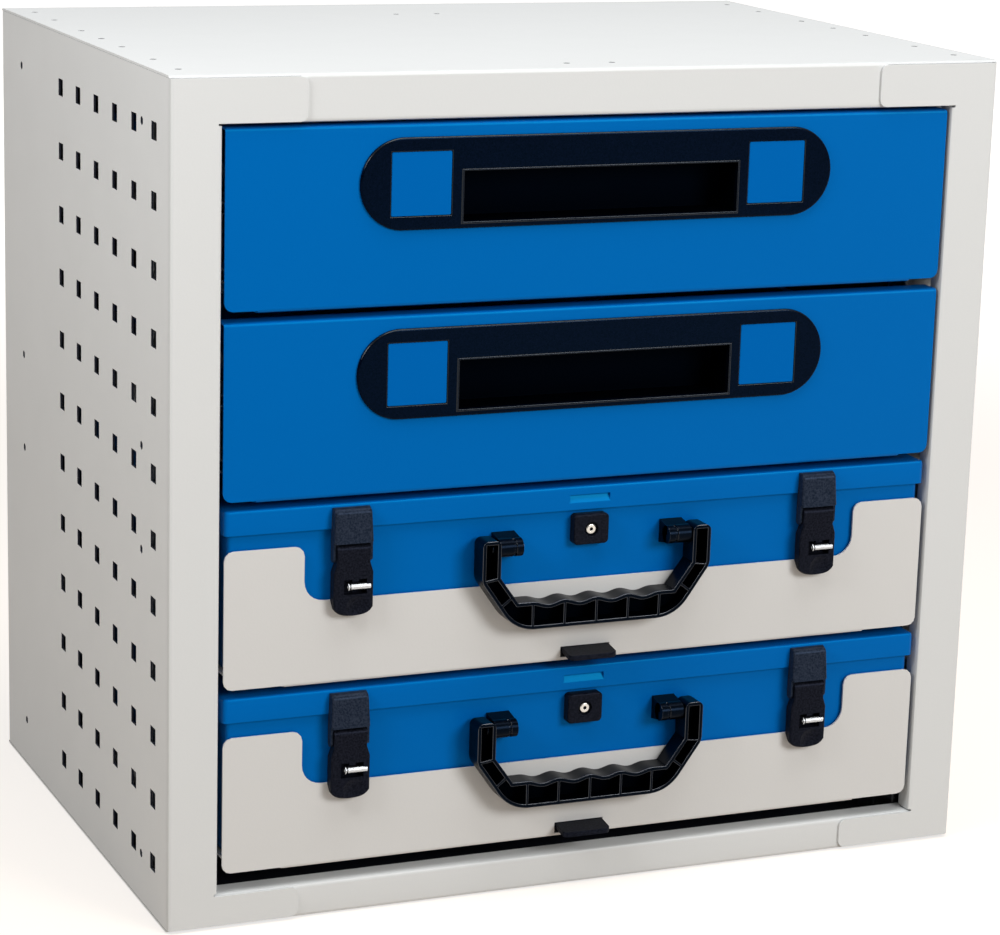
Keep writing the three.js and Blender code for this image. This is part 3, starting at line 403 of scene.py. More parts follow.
def break_edges(piece, width, segments=2, angle=SHARP_ANGLE, edge_material=None):
    """Bevel the edges that turn by more than an angle, and shade the piece."""
    only(piece)
    bevel = piece.modifiers.new("broken edges", "BEVEL")
    bevel.width = width
    bevel.segments = segments
    if edge_material:
        piece.data.materials.append(edge_material)
        bevel.material = len(piece.data.materials) - 1
    bevel.limit_method = "ANGLE"
    bevel.angle_limit = angle
    bpy.ops.object.modifier_apply(modifier=bevel.name)
    flat_shading(piece)


def stands_for(piece, node):
    """Let a piece move with its node's body, and hide the node."""
    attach(piece, frame["nodes"][node]["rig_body"])
    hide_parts(node)


def pick(piece, kind, test):
    """In edit mode, select the verts, edges or faces that pass a test."""
    bpy.ops.mesh.select_mode(type=kind[:-1].upper())
    bpy.ops.mesh.select_all(action="DESELECT")
    mesh = bmesh.from_edit_mesh(piece.data)
    chosen = [part for part in getattr(mesh, kind) if test(part)]
    for part in chosen:
        part.select_set(True)
    bmesh.update_edit_mesh(piece.data)
    return len(chosen)


def paint_where(piece, material, test):
    """Give the faces that pass a test a finish of their own."""
    piece.data.materials.append(material)
    only(piece)
    bpy.ops.object.mode_set(mode="EDIT")
    pick(piece, "faces", test)
    piece.active_material_index = len(piece.data.materials) - 1
    bpy.ops.object.material_slot_assign()
    bpy.ops.object.mode_set(mode="OBJECT")


def copied_sheet(node, material, edge=SHEET_EDGE, shape=None):
    """A copy of a CAD node with merged points, joined flats and broken edges."""
    piece = bpy.data.objects.new(f"{node}_sheet", frame["nodes"][node].data.copy())
    bpy.context.scene.collection.objects.link(piece)
    only(piece)
    bpy.ops.object.mode_set(mode="EDIT")
    bpy.ops.mesh.select_all(action="SELECT")
    bpy.ops.mesh.remove_doubles(threshold=DOUBLED)
    bpy.ops.mesh.customdata_custom_splitnormals_clear()
    bpy.ops.mesh.dissolve_limited(angle_limit=FLAT_ANGLE)
    bpy.ops.object.mode_set(mode="OBJECT")
    paint(piece, material)
    if shape:
        shape(piece)
    break_edges(piece, edge)
    stands_for(piece, node)
    return piece


print("sheet tools ready")

# %% [markdown]
# ## Panels, pans, trays and shells
# The cabinet is five folded panels, and its side panels are perforated so that tools and
# fittings can be hooked in. A real hole of this size looks black, because little light
# comes back out of the cabinet. So the walls of the holes, and the faces deep inside, are
# picked by their place and given the nearly black coat as painted shade. All other
# sheets, also those of the drawers, the trays and the cases, only need the copy.

# %% Copy the sheets of the cabinet, the drawers, the trays and the cases
SHEET_THICKNESS = 1.5 * MM
SHADE_MARGIN = 0.1 * MM
SHADE_DEPTH = 45.0 * MM
STEEP = 0.1
FLAT_AXES = {"top_panel": Z, "bottom_panel": Z, "left_side_panel": X, "right_side_panel": X}


def paint_shade_inside(piece, axis):
    """Paint shade on the walls of the holes in a panel and on its face deep inside, with the nearly black
    coat.
    """
    places = [point.co for point in piece.data.vertices]
    low = Vector([min(place[along] for place in places) for along in (X, Y, Z)])
    high = Vector([max(place[along] for place in places) for along in (X, Y, Z)])
    outward = 1 if low[axis] + high[axis] > box_before[0][axis] + box_before[1][axis] else -1
    skin = high[axis] if outward > 0 else low[axis]
    skin_depth = SHEET_THICKNESS - SHADE_MARGIN

    # The faces that get painted shade: walls of the holes and faces deep inside the cabinet.
    def in_shade(face):
        centre = face.calc_center_median()
        sunk = (skin - centre[axis]) * outward
        within = all(low[along] + SHADE_MARGIN < centre[along] < high[along] - SHADE_MARGIN
                     for along in (X, Y, Z))
        wall = within and sunk < skin_depth and abs(face.normal[axis]) < STEEP
        deep = sunk > skin_depth and low.y + SHADE_DEPTH < centre.y < high.y - SHADE_MARGIN
        return wall or deep
    paint_where(piece, thin_coat, in_shade)


copied_sheet("back_panel", cabinet_coat)
# The side, top and bottom panels get the nearly black coat as painted shade in their holes and deep inside.
for node, axis in FLAT_AXES.items():
    paint_shade_inside(copied_sheet(node, cabinet_coat), axis)
for number in (1, 2):
    copied_sheet(f"drawer_{number}", blue_coat)
    copied_sheet(f"tray_{number}", tray_coat, edge=TRAY_EDGE)
    copied_sheet(f"case_{number}_body", blue_coat)
sheets = [piece for piece in bpy.data.objects if piece.name.endswith("_sheet")]
print(len(sheets), "sheets,", sum(len(sheet.data.polygons) for sheet in sheets), "faces")

# %% [markdown]
# ## Tools of the modeller
# The moulded pieces are modelled by hand, as one would at the screen: a box or a rod is
# added at its size and place, some of its edges or faces are picked by where they lie,
# and they are bevelled, inset, extruded or moved. A carving takes one piece away from
# another with the Boolean modifier.

# %% Write the modeller's tools
FACING = 0.9
ALONG = 0.99
CORNER_TURN = 0.6
QUARTER_TURN = math.pi / 2
ROD_TURNS = {X: (0, QUARTER_TURN, 0), Y: (QUARTER_TURN, 0, 0), Z: (0, 0, 0)}


def start_box(name, low, high):
    """A cube primitive at its size and place, as the start of a piece."""
    bpy.ops.object.select_all(action="DESELECT")
    low, high = Vector(low), Vector(high)
    bpy.ops.mesh.primitive_cube_add(size=1, location=(low + high) / 2, scale=high - low)
    piece = bpy.context.object
    piece.name = name
    bpy.ops.object.transform_apply(location=True, rotation=True, scale=True)
    return piece


def start_rod(name, axis, centre, radius, length, sides=48):
    """A cylinder primitive along an axis, as the start of a round piece."""
    bpy.ops.object.select_all(action="DESELECT")
    bpy.ops.mesh.primitive_cylinder_add(vertices=sides, radius=radius, depth=length,
                                        location=centre, rotation=ROD_TURNS[axis])
    piece = bpy.context.object
    piece.name = name
    bpy.ops.object.transform_apply(location=True, rotation=True, scale=True)
    return piece


def runs_along(edge, axis):
    """Whether an edge is parallel to an axis."""
    run = edge.verts[1].co - edge.verts[0].co
    return abs(run[axis]) > ALONG * run.length


def centre_of(edge):
    """The middle of an edge."""
    return (edge.verts[0].co + edge.verts[1].co) / 2


def lies_at(edge, axis, place):
    """Whether the middle of an edge is at a place on an axis."""
    return abs(centre_of(edge)[axis] - place) < DOUBLED


def turns_sharply(edge):
    """Whether an edge is a clear corner between two faces."""
    return len(edge.link_faces) == 2 and edge.calc_face_angle() > CORNER_TURN


def round_edges(piece, test, width, segments):
    """Bevel the edges that pass a test."""
    only(piece)
    bpy.ops.object.mode_set(mode="EDIT")
    pick(piece, "edges", test)
    bpy.ops.mesh.bevel(offset=width, segments=segments, affect="EDGES")
    bpy.ops.mesh.select_all(action="SELECT")
    bpy.ops.mesh.remove_doubles(threshold=DOUBLED)
    bpy.ops.object.mode_set(mode="OBJECT")


def round_front(piece, front, width, segments):
    """Bevel the edges all round a front face, which is told by its place in Y."""
    def on_front(edge):
        return all(abs(point.co.y - front) < DOUBLED for point in edge.verts)
    round_edges(piece, on_front, width, segments)


def carve(piece, tool, operation="DIFFERENCE"):
    """Cut a tool out of a piece, or weld it on, and remove the tool."""
    only(piece)
    change = piece.modifiers.new("carve", "BOOLEAN")
    change.operation = operation
    change.object = tool
    change.solver = "EXACT"
    bpy.ops.object.modifier_apply(modifier=change.name)
    bpy.data.objects.remove(tool, do_unlink=True)


def moved_copy(piece, name, shift):
    """A second piece with its own mesh, moved within it."""
    only(piece)
    bpy.ops.object.duplicate(linked=False)
    twin = bpy.context.object
    twin.name = name
    twin.location = shift
    bpy.ops.object.transform_apply(location=True, rotation=False, scale=False)
    return twin


print("modeller's tools ready")

# %% [markdown]
# ## Lids with a pressed ramp
# A short ramp is pressed into the front of each lid, so that a thumb can lift it. The
# press drives the sheet inwards, which leaves a swelling behind it. A box is welded on
# from behind for the swelling, and a wedge, deep at its top and running out at its bottom,
# is carved out of the front. The wedge is a box, cut across once by bisect, whose lower
# back edge is moved forward.

# %% Copy the lids and press their ramps
RAMP_HALF = 12.7 * MM
RAMP_BELOW_TOP = 5.0 * MM
RAMP_HEIGHT = 4.4 * MM
RAMP_DEPTH = 1.8 * MM
RAMP_WALL = 0.7 * MM
RAMP_STEEP = 1.5 * MM


def press_ramp(lid):
    """Press a thumb ramp into the front of a lid."""
    front = min(corner[Y] for corner in lid.bound_box)
    ramp_top = max(corner[Z] for corner in lid.bound_box) - RAMP_BELOW_TOP
    ramp_bottom = ramp_top - RAMP_HEIGHT
    swelling = start_box("swelling", (-RAMP_HALF - RAMP_WALL, front, ramp_bottom - RAMP_WALL),
                         (RAMP_HALF + RAMP_WALL, front + RAMP_DEPTH + RAMP_WALL, ramp_top + 2 * RAMP_WALL))
    carve(lid, swelling, "UNION")
    wedge = start_box("wedge", (-RAMP_HALF, front - RAMP_DEPTH, ramp_bottom),
                      (RAMP_HALF, front + RAMP_DEPTH, ramp_top))
    only(wedge)
    bpy.ops.object.mode_set(mode="EDIT")
    bpy.ops.mesh.select_all(action="SELECT")
    bpy.ops.mesh.bisect(plane_co=(0, 0, ramp_top - RAMP_STEEP), plane_no=(0, 0, 1))
    pick(wedge, "edges", lambda edge: runs_along(edge, X) and lies_at(edge, Z, ramp_bottom)
         and centre_of(edge).y > front)
    bpy.ops.transform.translate(value=(0, -RAMP_DEPTH, 0))
    bpy.ops.object.mode_set(mode="OBJECT")
    carve(lid, wedge)


for number in (1, 2):
    copied_sheet(f"case_{number}_lid", blue_coat, shape=press_ramp)
print("lids ready")

# %% [markdown]
# ## Drawer grips
# Each drawer is pulled by a black moulded bar with round ends. Its middle is a deep
# pocket: fingers go in at the mouth and hook behind the upper lip. A fine raised rim runs
# round the mouth, and at each end a square recess takes a label. The bar starts as a box
# whose four corners are rounded by half its height. The shell of the pocket and the rim
# are welded on, and the mouth, the hook and the recesses are carved out. The round upper
# edge and the bevels get a glossier, lighter plastic as painted highlight, and the inside
# of the pocket a nearly black one as painted shade.

# %% Model the first grip
GRIP_PROUD = 2.0 * MM
GRIP_EDGE = 1.2 * MM
GRIP_WEAR = 0.3 * MM
RIM_PROUD = 0.6 * MM
RIM_WIDTH = 1.0 * MM
MOUTH_HALF = 84.5 * MM
MOUTH_BELOW = 21.9 * MM
MOUTH_ABOVE = 6.5 * MM
MOUTH_SHADE = 1.6 * MM
HOOK_ABOVE = 17.0 * MM
HOOK_LIP = 3.0 * MM
POCKET_WALL = 2.0 * MM
LABEL_SIZE = 36.0 * MM
LABEL_SPACING = 219.0 * MM
LABEL_DEPTH = 1.2 * MM
PASS = 5.0 * MM
ROUND_TOP = 0.3
SIDES = (("left", -1), ("right", 1))

grip_low, grip_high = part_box("drawer_1_grip")
grip_face = grip_low.y + RIM_PROUD
grip_axis = (grip_low.z + grip_high.z) / 2
grip_half = (grip_high.z - grip_low.z) / 2
drawer_face = grip_face + GRIP_PROUD
pocket_back = grip_high.y - POCKET_WALL
mouth_bottom = grip_axis - MOUTH_BELOW
mouth_top = grip_axis + MOUTH_ABOVE
hook_top = grip_axis + HOOK_ABOVE

grip = start_box("drawer_1_grip_moulding", (grip_low.x, grip_face, grip_low.z),
                 (grip_high.x, drawer_face, grip_high.z))
round_edges(grip, lambda edge: runs_along(edge, Y), grip_half - LEAST_FLAT, segments=20)
round_front(grip, grip_face, GRIP_EDGE, segments=4)
shell = start_box("shell", (-MOUTH_HALF - POCKET_WALL, grip_face + GRIP_EDGE, mouth_bottom - POCKET_WALL),
                  (MOUTH_HALF + POCKET_WALL, grip_high.y, hook_top + POCKET_WALL))
carve(grip, shell, "UNION")
rim = start_box("rim", (-MOUTH_HALF - RIM_WIDTH, grip_low.y, mouth_bottom - RIM_WIDTH),
                (MOUTH_HALF + RIM_WIDTH, grip_face + RIM_PROUD, mouth_top + RIM_WIDTH))
carve(grip, rim, "UNION")
carve(grip, start_box("mouth", (-MOUTH_HALF, grip_low.y - PASS, mouth_bottom),
                      (MOUTH_HALF, pocket_back, mouth_top)))
carve(grip, start_box("hook", (-MOUTH_HALF, grip_face + HOOK_LIP, mouth_bottom),
                      (MOUTH_HALF, pocket_back, hook_top)))
for side_name, side in SIDES:
    middle = side * LABEL_SPACING / 2
    carve(grip, start_box("recess", (middle - LABEL_SIZE / 2, grip_face - PASS, grip_axis - LABEL_SIZE / 2),
                          (middle + LABEL_SIZE / 2, grip_face + LABEL_DEPTH, grip_axis + LABEL_SIZE / 2)))
paint(grip, grip_plastic)
# Painted highlight: the round upper edge and every bevel get the glossier, lighter edge plastic.
paint_where(grip, worn_edge, lambda face: face.normal.z > ROUND_TOP and face.normal.y < -ROUND_TOP)
break_edges(grip, GRIP_WEAR, edge_material=worn_edge)
# Painted shade: the inside of the pocket gets the dull, nearly black plastic.
paint_where(grip, hollow_plastic, lambda face: face.calc_center_median().y > grip_face + MOUTH_SHADE)
print("grip", len(grip.data.polygons), "faces")

# %% [markdown]
# ## Label plates
# Each recess of a grip holds a plain blue plate, a little smaller than the recess and just
# below the face of the bar. A box with rounded corners makes it, in a function that serves
# the left and the right. The lower drawer's grip and plates are copies of the upper
# drawer's, moved down by the distance between the two grips.

# %% Lay the bare label plates and give the second drawer its grip
PLATE_GAP = 0.3 * MM
PLATE_CORNER = 0.8 * MM
PLATE_EDGE = 0.15 * MM


def label_plate(name, middle):
    """A bare plate in a recess of the first grip."""
    half = LABEL_SIZE / 2 - PLATE_GAP
    plate = start_box(name, (middle - half, grip_face + PLATE_GAP, grip_axis - half),
                      (middle + half, grip_face + LABEL_DEPTH, grip_axis + half))
    round_edges(plate, lambda edge: runs_along(edge, Y), PLATE_CORNER, segments=4)
    break_edges(plate, PLATE_EDGE)
    paint(plate, label_film)
    return plate


drawer_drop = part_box("drawer_2_grip")[0] - grip_low
second_grip = moved_copy(grip, "drawer_2_grip_moulding", drawer_drop)
for number, moulding in ((1, grip), (2, second_grip)):
    stands_for(moulding, f"drawer_{number}_grip")
for side_name, side in SIDES:
    plate = label_plate(f"drawer_1_{side_name}_label", side * LABEL_SPACING / 2)
    second_plate = moved_copy(plate, f"drawer_2_{side_name}_label", drawer_drop)
    for number, piece in ((1, plate), (2, second_plate)):
        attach(piece, f"drawer_{number}")
print("drawers are", round(-drawer_drop.z, 4), "m apart")

# %% [markdown]
# ## Latches
# Two toggle latches close each case. A cap on the lid narrows towards its rounded top,
# and two cheeks under it hold the pin of the lever. The cap is a box whose top face is
# made narrower and whose upper front edge is moved back. The nose and the side edges are
# then bevelled, and the cheeks are welded on. A bevel is used for each round edge here,
# because it keeps the flat faces flat, which a subdivision surface would not.

# %% Model the first cap and its cheeks
CAP_PROUD = 7.0 * MM
CAP_TOP_BACK = 1.8 * MM
CAP_TAPER_SHARE = 0.945
CAP_NOSE = 3.4 * MM
CAP_EDGE = 1.3 * MM
CAP_BREAK = 0.2 * MM
CAP_BACK_SHARE = 0.25
CAP_INSET = 0.8 * MM
CAP_HEIGHT = 19.9 * MM
CHEEK_THICKNESS = 1.4 * MM
CHEEK_PROUD = 5.0 * MM
CHEEK_EXTRA = 1.2 * MM
CHEEK_ROUND = 2.4 * MM

bracket_low, bracket_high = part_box("case_1_left_latch_bracket")
latch_x = (bracket_low.x + bracket_high.x) / 2
lid_face = bracket_high.y
cap_bottom = bracket_high.z - CAP_HEIGHT
cap_front = lid_face - CAP_PROUD
cap_half = (bracket_high.x - bracket_low.x) / 2 - CAP_INSET

cap = start_box("case_1_left_latch_cap", (bracket_low.x + CAP_INSET, cap_front, cap_bottom),
                (bracket_high.x - CAP_INSET, lid_face, bracket_high.z))
only(cap)
bpy.ops.object.mode_set(mode="EDIT")
pick(cap, "faces", lambda face: face.normal.z > FACING)
bpy.ops.transform.resize(value=(CAP_TAPER_SHARE, 1, 1),
                         center_override=(latch_x, lid_face, bracket_high.z))
pick(cap, "edges", lambda edge: runs_along(edge, X) and lies_at(edge, Z, bracket_high.z)
     and lies_at(edge, Y, cap_front))
bpy.ops.transform.translate(value=(0, CAP_TOP_BACK, 0))
bpy.ops.object.mode_set(mode="OBJECT")
round_edges(cap, lambda edge: runs_along(edge, X) and lies_at(edge, Z, bracket_high.z)
            and not lies_at(edge, Y, lid_face), CAP_NOSE, segments=6)
round_edges(cap, lambda edge: centre_of(edge).y < lid_face - CAP_BACK_SHARE * CAP_PROUD
            and not runs_along(edge, X) and abs(centre_of(edge).x - latch_x) > CAP_PROUD
            and turns_sharply(edge), CAP_EDGE, segments=4)
for side_name, side in SIDES:
    outer = latch_x + side * (cap_half - DOUBLED)
    inner = outer - side * CHEEK_THICKNESS
    cheek_bottom = bracket_low.z - CHEEK_EXTRA
    cheek = start_box("cheek", (min(outer, inner), lid_face - CHEEK_PROUD, cheek_bottom),
                      (max(outer, inner), lid_face - DOUBLED, cap_bottom + CHEEK_ROUND))
    round_edges(cheek, lambda edge: runs_along(edge, X) and lies_at(edge, Z, cheek_bottom),
                CHEEK_ROUND, segments=5)
    carve(cap, cheek, "UNION")
break_edges(cap, CAP_BREAK)
# Painted light: the cap gets the lighter copy of the latch plastic.
paint(cap, cap_plastic)
print("cap", len(cap.data.polygons), "faces")

# %% [markdown]
# ## The lever of a latch
# The lever has a neck between the cheeks and flares to a paddle with a curved end. A window
# shows the steel pin of the draw hook, and a shallow hollow near the end takes the thumb. A
# box as wide as the neck is cut across by bisect where the flare starts and ends, and all
# below is widened. The end edge is subdivided and its points are lifted along a curve. The
# window is carved by a box, which first loses a small tongue, and the hollow by a sphere.

# %% Model the first lever
LEVER_NECK = 20.0 * MM
LEVER_INSET = 0.7 * MM
LEVER_NECK_LENGTH = 7.6 * MM
LEVER_FLARE_LENGTH = 5.5 * MM
LEVER_THICKNESS = 6.4 * MM
LEVER_EDGE = 1.3 * MM
LEVER_BREAK = 0.25 * MM
TIP_RISE = 4.6 * MM
TIP_STEPS = 15
TIP_THINNED = 3.4 * MM
TIP_TAPER_LENGTH = 8.5 * MM
TIP_ROUND_SHARE = 0.45
TIP_CORNER_SHARE = 0.55
WINDOW_HALF = 6.9 * MM
WINDOW_HEIGHT = 8.8 * MM
WINDOW_DROP = 21.2 * MM
WINDOW_ASIDE = 0.9 * MM
WINDOW_DEPTH = 5.0 * MM
TONGUE_HALF = 1.9 * MM
TONGUE_DROP = 1.2 * MM
HOLLOW_RADIUS = 16.0 * MM
HOLLOW_DEPTH = 1.7 * MM
HOLLOW_RISE = 4.6 * MM
HOLLOW_ASIDE = 2.2 * MM

lever_low, lever_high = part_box("case_1_left_latch_lever")
pivot_z = lever_high.z - LEVER_THICKNESS / 2
flare_top = pivot_z - LEVER_NECK_LENGTH
flare_bottom = flare_top - LEVER_FLARE_LENGTH
taper_top = lever_low.z + TIP_TAPER_LENGTH
tip_half = (lever_high.x - lever_low.x) / 2 - LEVER_INSET
widening = (lever_high.x - lever_low.x - 2 * LEVER_INSET) / LEVER_NECK
window_x = latch_x + WINDOW_ASIDE
window_z = pivot_z - WINDOW_DROP
window_bottom = window_z - WINDOW_HEIGHT / 2
window_top = window_z + WINDOW_HEIGHT / 2

lever = start_box("case_1_left_latch_paddle",
                  (latch_x - LEVER_NECK / 2, lever_low.y, lever_low.z),
                  (latch_x + LEVER_NECK / 2, lever_high.y, lever_high.z))
only(lever)
bpy.ops.object.mode_set(mode="EDIT")
for height in (flare_top, flare_bottom, taper_top):
    bpy.ops.mesh.select_all(action="SELECT")
    bpy.ops.mesh.bisect(plane_co=(latch_x, 0, height), plane_no=(0, 0, 1))
pick(lever, "verts", lambda point: point.co.z < flare_bottom + DOUBLED)
bpy.ops.transform.resize(value=(widening, 1, 1), center_override=(latch_x, 0, 0))
pick(lever, "edges", lambda edge: runs_along(edge, X) and lies_at(edge, Z, lever_low.z)
     and lies_at(edge, Y, lever_high.y))
bpy.ops.transform.translate(value=(0, -TIP_THINNED, 0))
pick(lever, "edges", lambda edge: runs_along(edge, X) and lies_at(edge, Z, lever_low.z))
bpy.ops.mesh.subdivide(number_cuts=TIP_STEPS)
lever_mesh = bmesh.from_edit_mesh(lever.data)
for point in lever_mesh.verts:
    if point.co.z < lever_low.z + DOUBLED:
        share = abs(point.co.x - latch_x) / tip_half
        point.co.z += TIP_RISE * (TIP_ROUND_SHARE * share ** 2 + TIP_CORNER_SHARE * share ** 6)
bmesh.update_edit_mesh(lever.data)
bpy.ops.object.mode_set(mode="OBJECT")
round_edges(lever, lambda edge: runs_along(edge, X) and lies_at(edge, Z, lever_high.z),
            LEVER_THICKNESS / 2 - LEAST_FLAT, segments=8)
round_edges(lever, lambda edge: lies_at(edge, Y, lever_low.y) and turns_sharply(edge),
            LEVER_EDGE, segments=4)
window = start_box("window", (window_x - WINDOW_HALF, lever_low.y - PASS, window_bottom),
                   (window_x + WINDOW_HALF, lever_low.y + WINDOW_DEPTH, window_top))
tongue = start_box("tongue", (window_x - TONGUE_HALF, lever_low.y - 2 * PASS, window_top - TONGUE_DROP),
                   (window_x + TONGUE_HALF, lever_high.y, window_top + PASS))
carve(window, tongue)
carve(lever, window)
bpy.ops.mesh.primitive_uv_sphere_add(segments=64, ring_count=48, radius=HOLLOW_RADIUS,
                                     location=(latch_x + HOLLOW_ASIDE,
                                               lever_low.y + HOLLOW_DEPTH - HOLLOW_RADIUS,
                                               lever_low.z + HOLLOW_RISE))
carve(lever, bpy.context.object)
break_edges(lever, LEVER_BREAK)
paint(lever, latch_plastic)
print("lever", len(lever.data.polygons), "faces")

# %% [markdown]
# ## The steel pin, and all four latches
# The pin lies across the window, with a thin neck and a flat disc at its left end. Three
# rods on one axis are welded together. The cap, the lever and the pin are then copied to
# the other three latches by the distance between the brackets in the frame. The pin rides
# on the body of its lever, so that it swings along.

# %% Add the steel pin and set out the four latches
PIN_RADIUS = 1.8 * MM
PIN_LEFT = 4.0 * MM
PIN_RIGHT = 9.2 * MM
PIN_NECK = 1.0 * MM
PIN_NECK_RADIUS = 0.9 * MM
PIN_BACK = 1.2 * MM
PIN_EDGE = 0.2 * MM
PIN_SIDES = 24
DISC_RADIUS = 2.3 * MM
DISC_LENGTH = 0.8 * MM

pin_y = lever_low.y + PIN_BACK
disc_x = window_x - PIN_LEFT
pin_start = disc_x + DISC_LENGTH / 2 + PIN_NECK
pin_stop = window_x + PIN_RIGHT
pin = start_rod("case_1_left_latch_pin", X, ((pin_start + pin_stop) / 2, pin_y, window_z), PIN_RADIUS,
                pin_stop - pin_start, sides=PIN_SIDES)
neck = start_rod("neck", X, ((disc_x + pin_start) / 2, pin_y, window_z), PIN_NECK_RADIUS,
                 2 * (pin_start - disc_x), sides=PIN_SIDES)
carve(pin, neck, "UNION")
disc = start_rod("disc", X, (disc_x, pin_y, window_z), DISC_RADIUS, DISC_LENGTH, sides=PIN_SIDES)
carve(pin, disc, "UNION")
break_edges(pin, PIN_EDGE)
paint(pin, zinc_plate)

latch_pieces = {"latch_cap": cap, "latch_paddle": lever, "latch_pin": pin}
latch_nodes = {"latch_cap": "latch_bracket", "latch_paddle": "latch_lever"}
latch_sets = []
for number in (1, 2):
    for side_name, side in SIDES:
        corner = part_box(f"case_{number}_{side_name}_latch_bracket")[0]
        latch_sets.append((f"case_{number}_{side_name}", corner - bracket_low))
for prefix, shift in latch_sets:
    for kind, first in latch_pieces.items():
        name = f"{prefix}_{kind}"
        piece = first if name == first.name else moved_copy(first, name, shift)
        if kind in latch_nodes:
            stands_for(piece, f"{prefix}_{latch_nodes[kind]}")
        else:
            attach(piece, frame["nodes"][f"{prefix}_latch_lever"]["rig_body"])
print(len(latch_sets), "latches")

# %% [markdown]
# ## Carry handles
# A moulded handle hangs in front of each case. It is a channel, open to the front: two
# arms come down from the pins, lean in at the knees and meet the grip, whose upper edge
# is scalloped for four fingers. A station is a pair of points, one on the outer edge and
# one on the inner. The handle starts as the left arm, and its end face is extruded from
# station to station round the whole handle, so every size of the outline can be named.

# %% Extrude the handle from station to station
HANDLE_ARM = 11.4 * MM
HANDLE_ABOVE_PIN = 6.0 * MM
KNEE_BELOW_PIN = 18.2 * MM
KNEE_STEP = 2.1 * MM
GRIP_RISE = 2.7 * MM
GRIP_HEIGHT = 16.4 * MM
GRIP_INNER_HALF = 49.2 * MM
GRIP_OUTER_HALF = 50.9 * MM
OUTER_WEB_SHARE = 0.80
INNER_WEB_SHARE = 0.73
CORNER_RADIUS = 24.0 * MM
CORNER_STEPS = 8
ARM_ROUND = 3.6 * MM
KNEE_ROUND = 3.0 * MM
SCALLOPS = 4
SCALLOP_PITCH = 20.0 * MM
SCALLOP_DIP = 2.1 * MM
SCALLOP_STEPS = 12

handle_low, handle_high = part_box("case_1_handle")
handle_half = (handle_high.x - handle_low.x) / 2
arm_inner = handle_half - HANDLE_ARM
handle_pin_z = handle_high.z - HANDLE_ABOVE_PIN
grip_low_z = handle_low.z + GRIP_RISE
grip_top_z = grip_low_z + GRIP_HEIGHT
knee_z = handle_pin_z - KNEE_BELOW_PIN
inner_knee_z = knee_z + KNEE_STEP
lean = math.atan2(knee_z - grip_low_z, handle_half - GRIP_OUTER_HALF)
corner_start_x = GRIP_OUTER_HALF - CORNER_RADIUS * math.tan(lean / 2)
corner_z = grip_low_z + CORNER_RADIUS
scallop_half = SCALLOPS * SCALLOP_PITCH / 2


def outer_point(turned):
    """A place on the round outer corner of the left half, by how far it has turned."""
    return Vector((-corner_start_x - CORNER_RADIUS * math.sin(turned),
                   corner_z - CORNER_RADIUS * math.cos(turned)))


first_web_turn = math.asin((scallop_half - corner_start_x) / CORNER_RADIUS)
knees = (Vector((-handle_half, knee_z)), Vector((-arm_inner, inner_knee_z)))
leans_to = (outer_point(lean), Vector((-GRIP_INNER_HALF, grip_top_z)))
first_web = (knees[0].lerp(leans_to[0], OUTER_WEB_SHARE), knees[1].lerp(leans_to[1], INNER_WEB_SHARE))
stations = [knees, first_web]
for step in range(CORNER_STEPS + 1):
    share = step / CORNER_STEPS
    turned = lean + (first_web_turn - lean) * share
    inner_x = -GRIP_INNER_HALF + (GRIP_INNER_HALF - scallop_half) * share
    stations.append((outer_point(turned), Vector((inner_x, grip_top_z))))
for step in range(1, SCALLOPS * SCALLOP_STEPS // 2 + 1):
    along = -scallop_half + SCALLOP_PITCH * step / SCALLOP_STEPS
    dip = SCALLOP_DIP * math.sin(math.pi * step / SCALLOP_STEPS) ** 2
    rise = CORNER_RADIUS - math.sqrt(CORNER_RADIUS ** 2 - min(0, along + corner_start_x) ** 2)
    stations.append((Vector((along, grip_low_z + rise)), Vector((along, grip_top_z - dip))))
mirrored = [tuple(Vector((-point.x, point.y)) for point in pair) for pair in reversed(stations[:-1])]
stations += mirrored
stations.append((Vector((handle_half, handle_high.z)), Vector((arm_inner, handle_high.z))))

handle = start_box("case_1_handle_moulding", (-handle_half, handle_low.y, knee_z),
                   (-arm_inner, handle_high.y, handle_high.z))
only(handle)
bpy.ops.object.mode_set(mode="EDIT")
pick(handle, "edges", lambda edge: runs_along(edge, Y) and lies_at(edge, Z, knee_z)
     and lies_at(edge, X, -arm_inner))
bpy.ops.transform.translate(value=(0, 0, KNEE_STEP))
pick(handle, "faces", lambda face: face.normal.z < -FACING)
last_outer, last_inner = stations[0]
for outer, inner in stations[1:]:
    bpy.ops.mesh.extrude_region_move()
    handle_mesh = bmesh.from_edit_mesh(handle.data)
    for point in handle_mesh.verts:
        if point.select:
            here = Vector((point.co.x, point.co.z))
            near_outer = (here - last_outer).length < (here - last_inner).length
            point.co.x, point.co.z = outer if near_outer else inner
    bmesh.update_edit_mesh(handle.data)
    last_outer, last_inner = outer, inner
bpy.ops.mesh.select_all(action="SELECT")
bpy.ops.mesh.normals_make_consistent(inside=False)
bpy.ops.object.mode_set(mode="OBJECT")
print(len(stations), "stations")

# %% [markdown]
# ## The hollows of the handle
# Thin webs cross the channel and keep it stiff. The whole front is inset once for the rim.
# Then the faces of one cell at a time are inset by half a web and pushed in, which leaves
# the webs standing between the cells. The pushed faces are smooth-shaded until their turn,
# and this marks them among the others. The hollows get the dull, nearly black plastic as
# painted shade, and the broken edges a glossier plastic as painted highlight, which gives
# way to the painted shade again where an edge lies inside a hollow.

# %% Hollow the channel cell by cell
HANDLE_RIM = 1.45 * MM
HANDLE_WEB = 1.5 * MM
HANDLE_FLOOR = 3.0 * MM
HANDLE_EDGE = 0.4 * MM
ARM_CELLS = 3
CELLS = SCALLOPS + 2 * ARM_CELLS


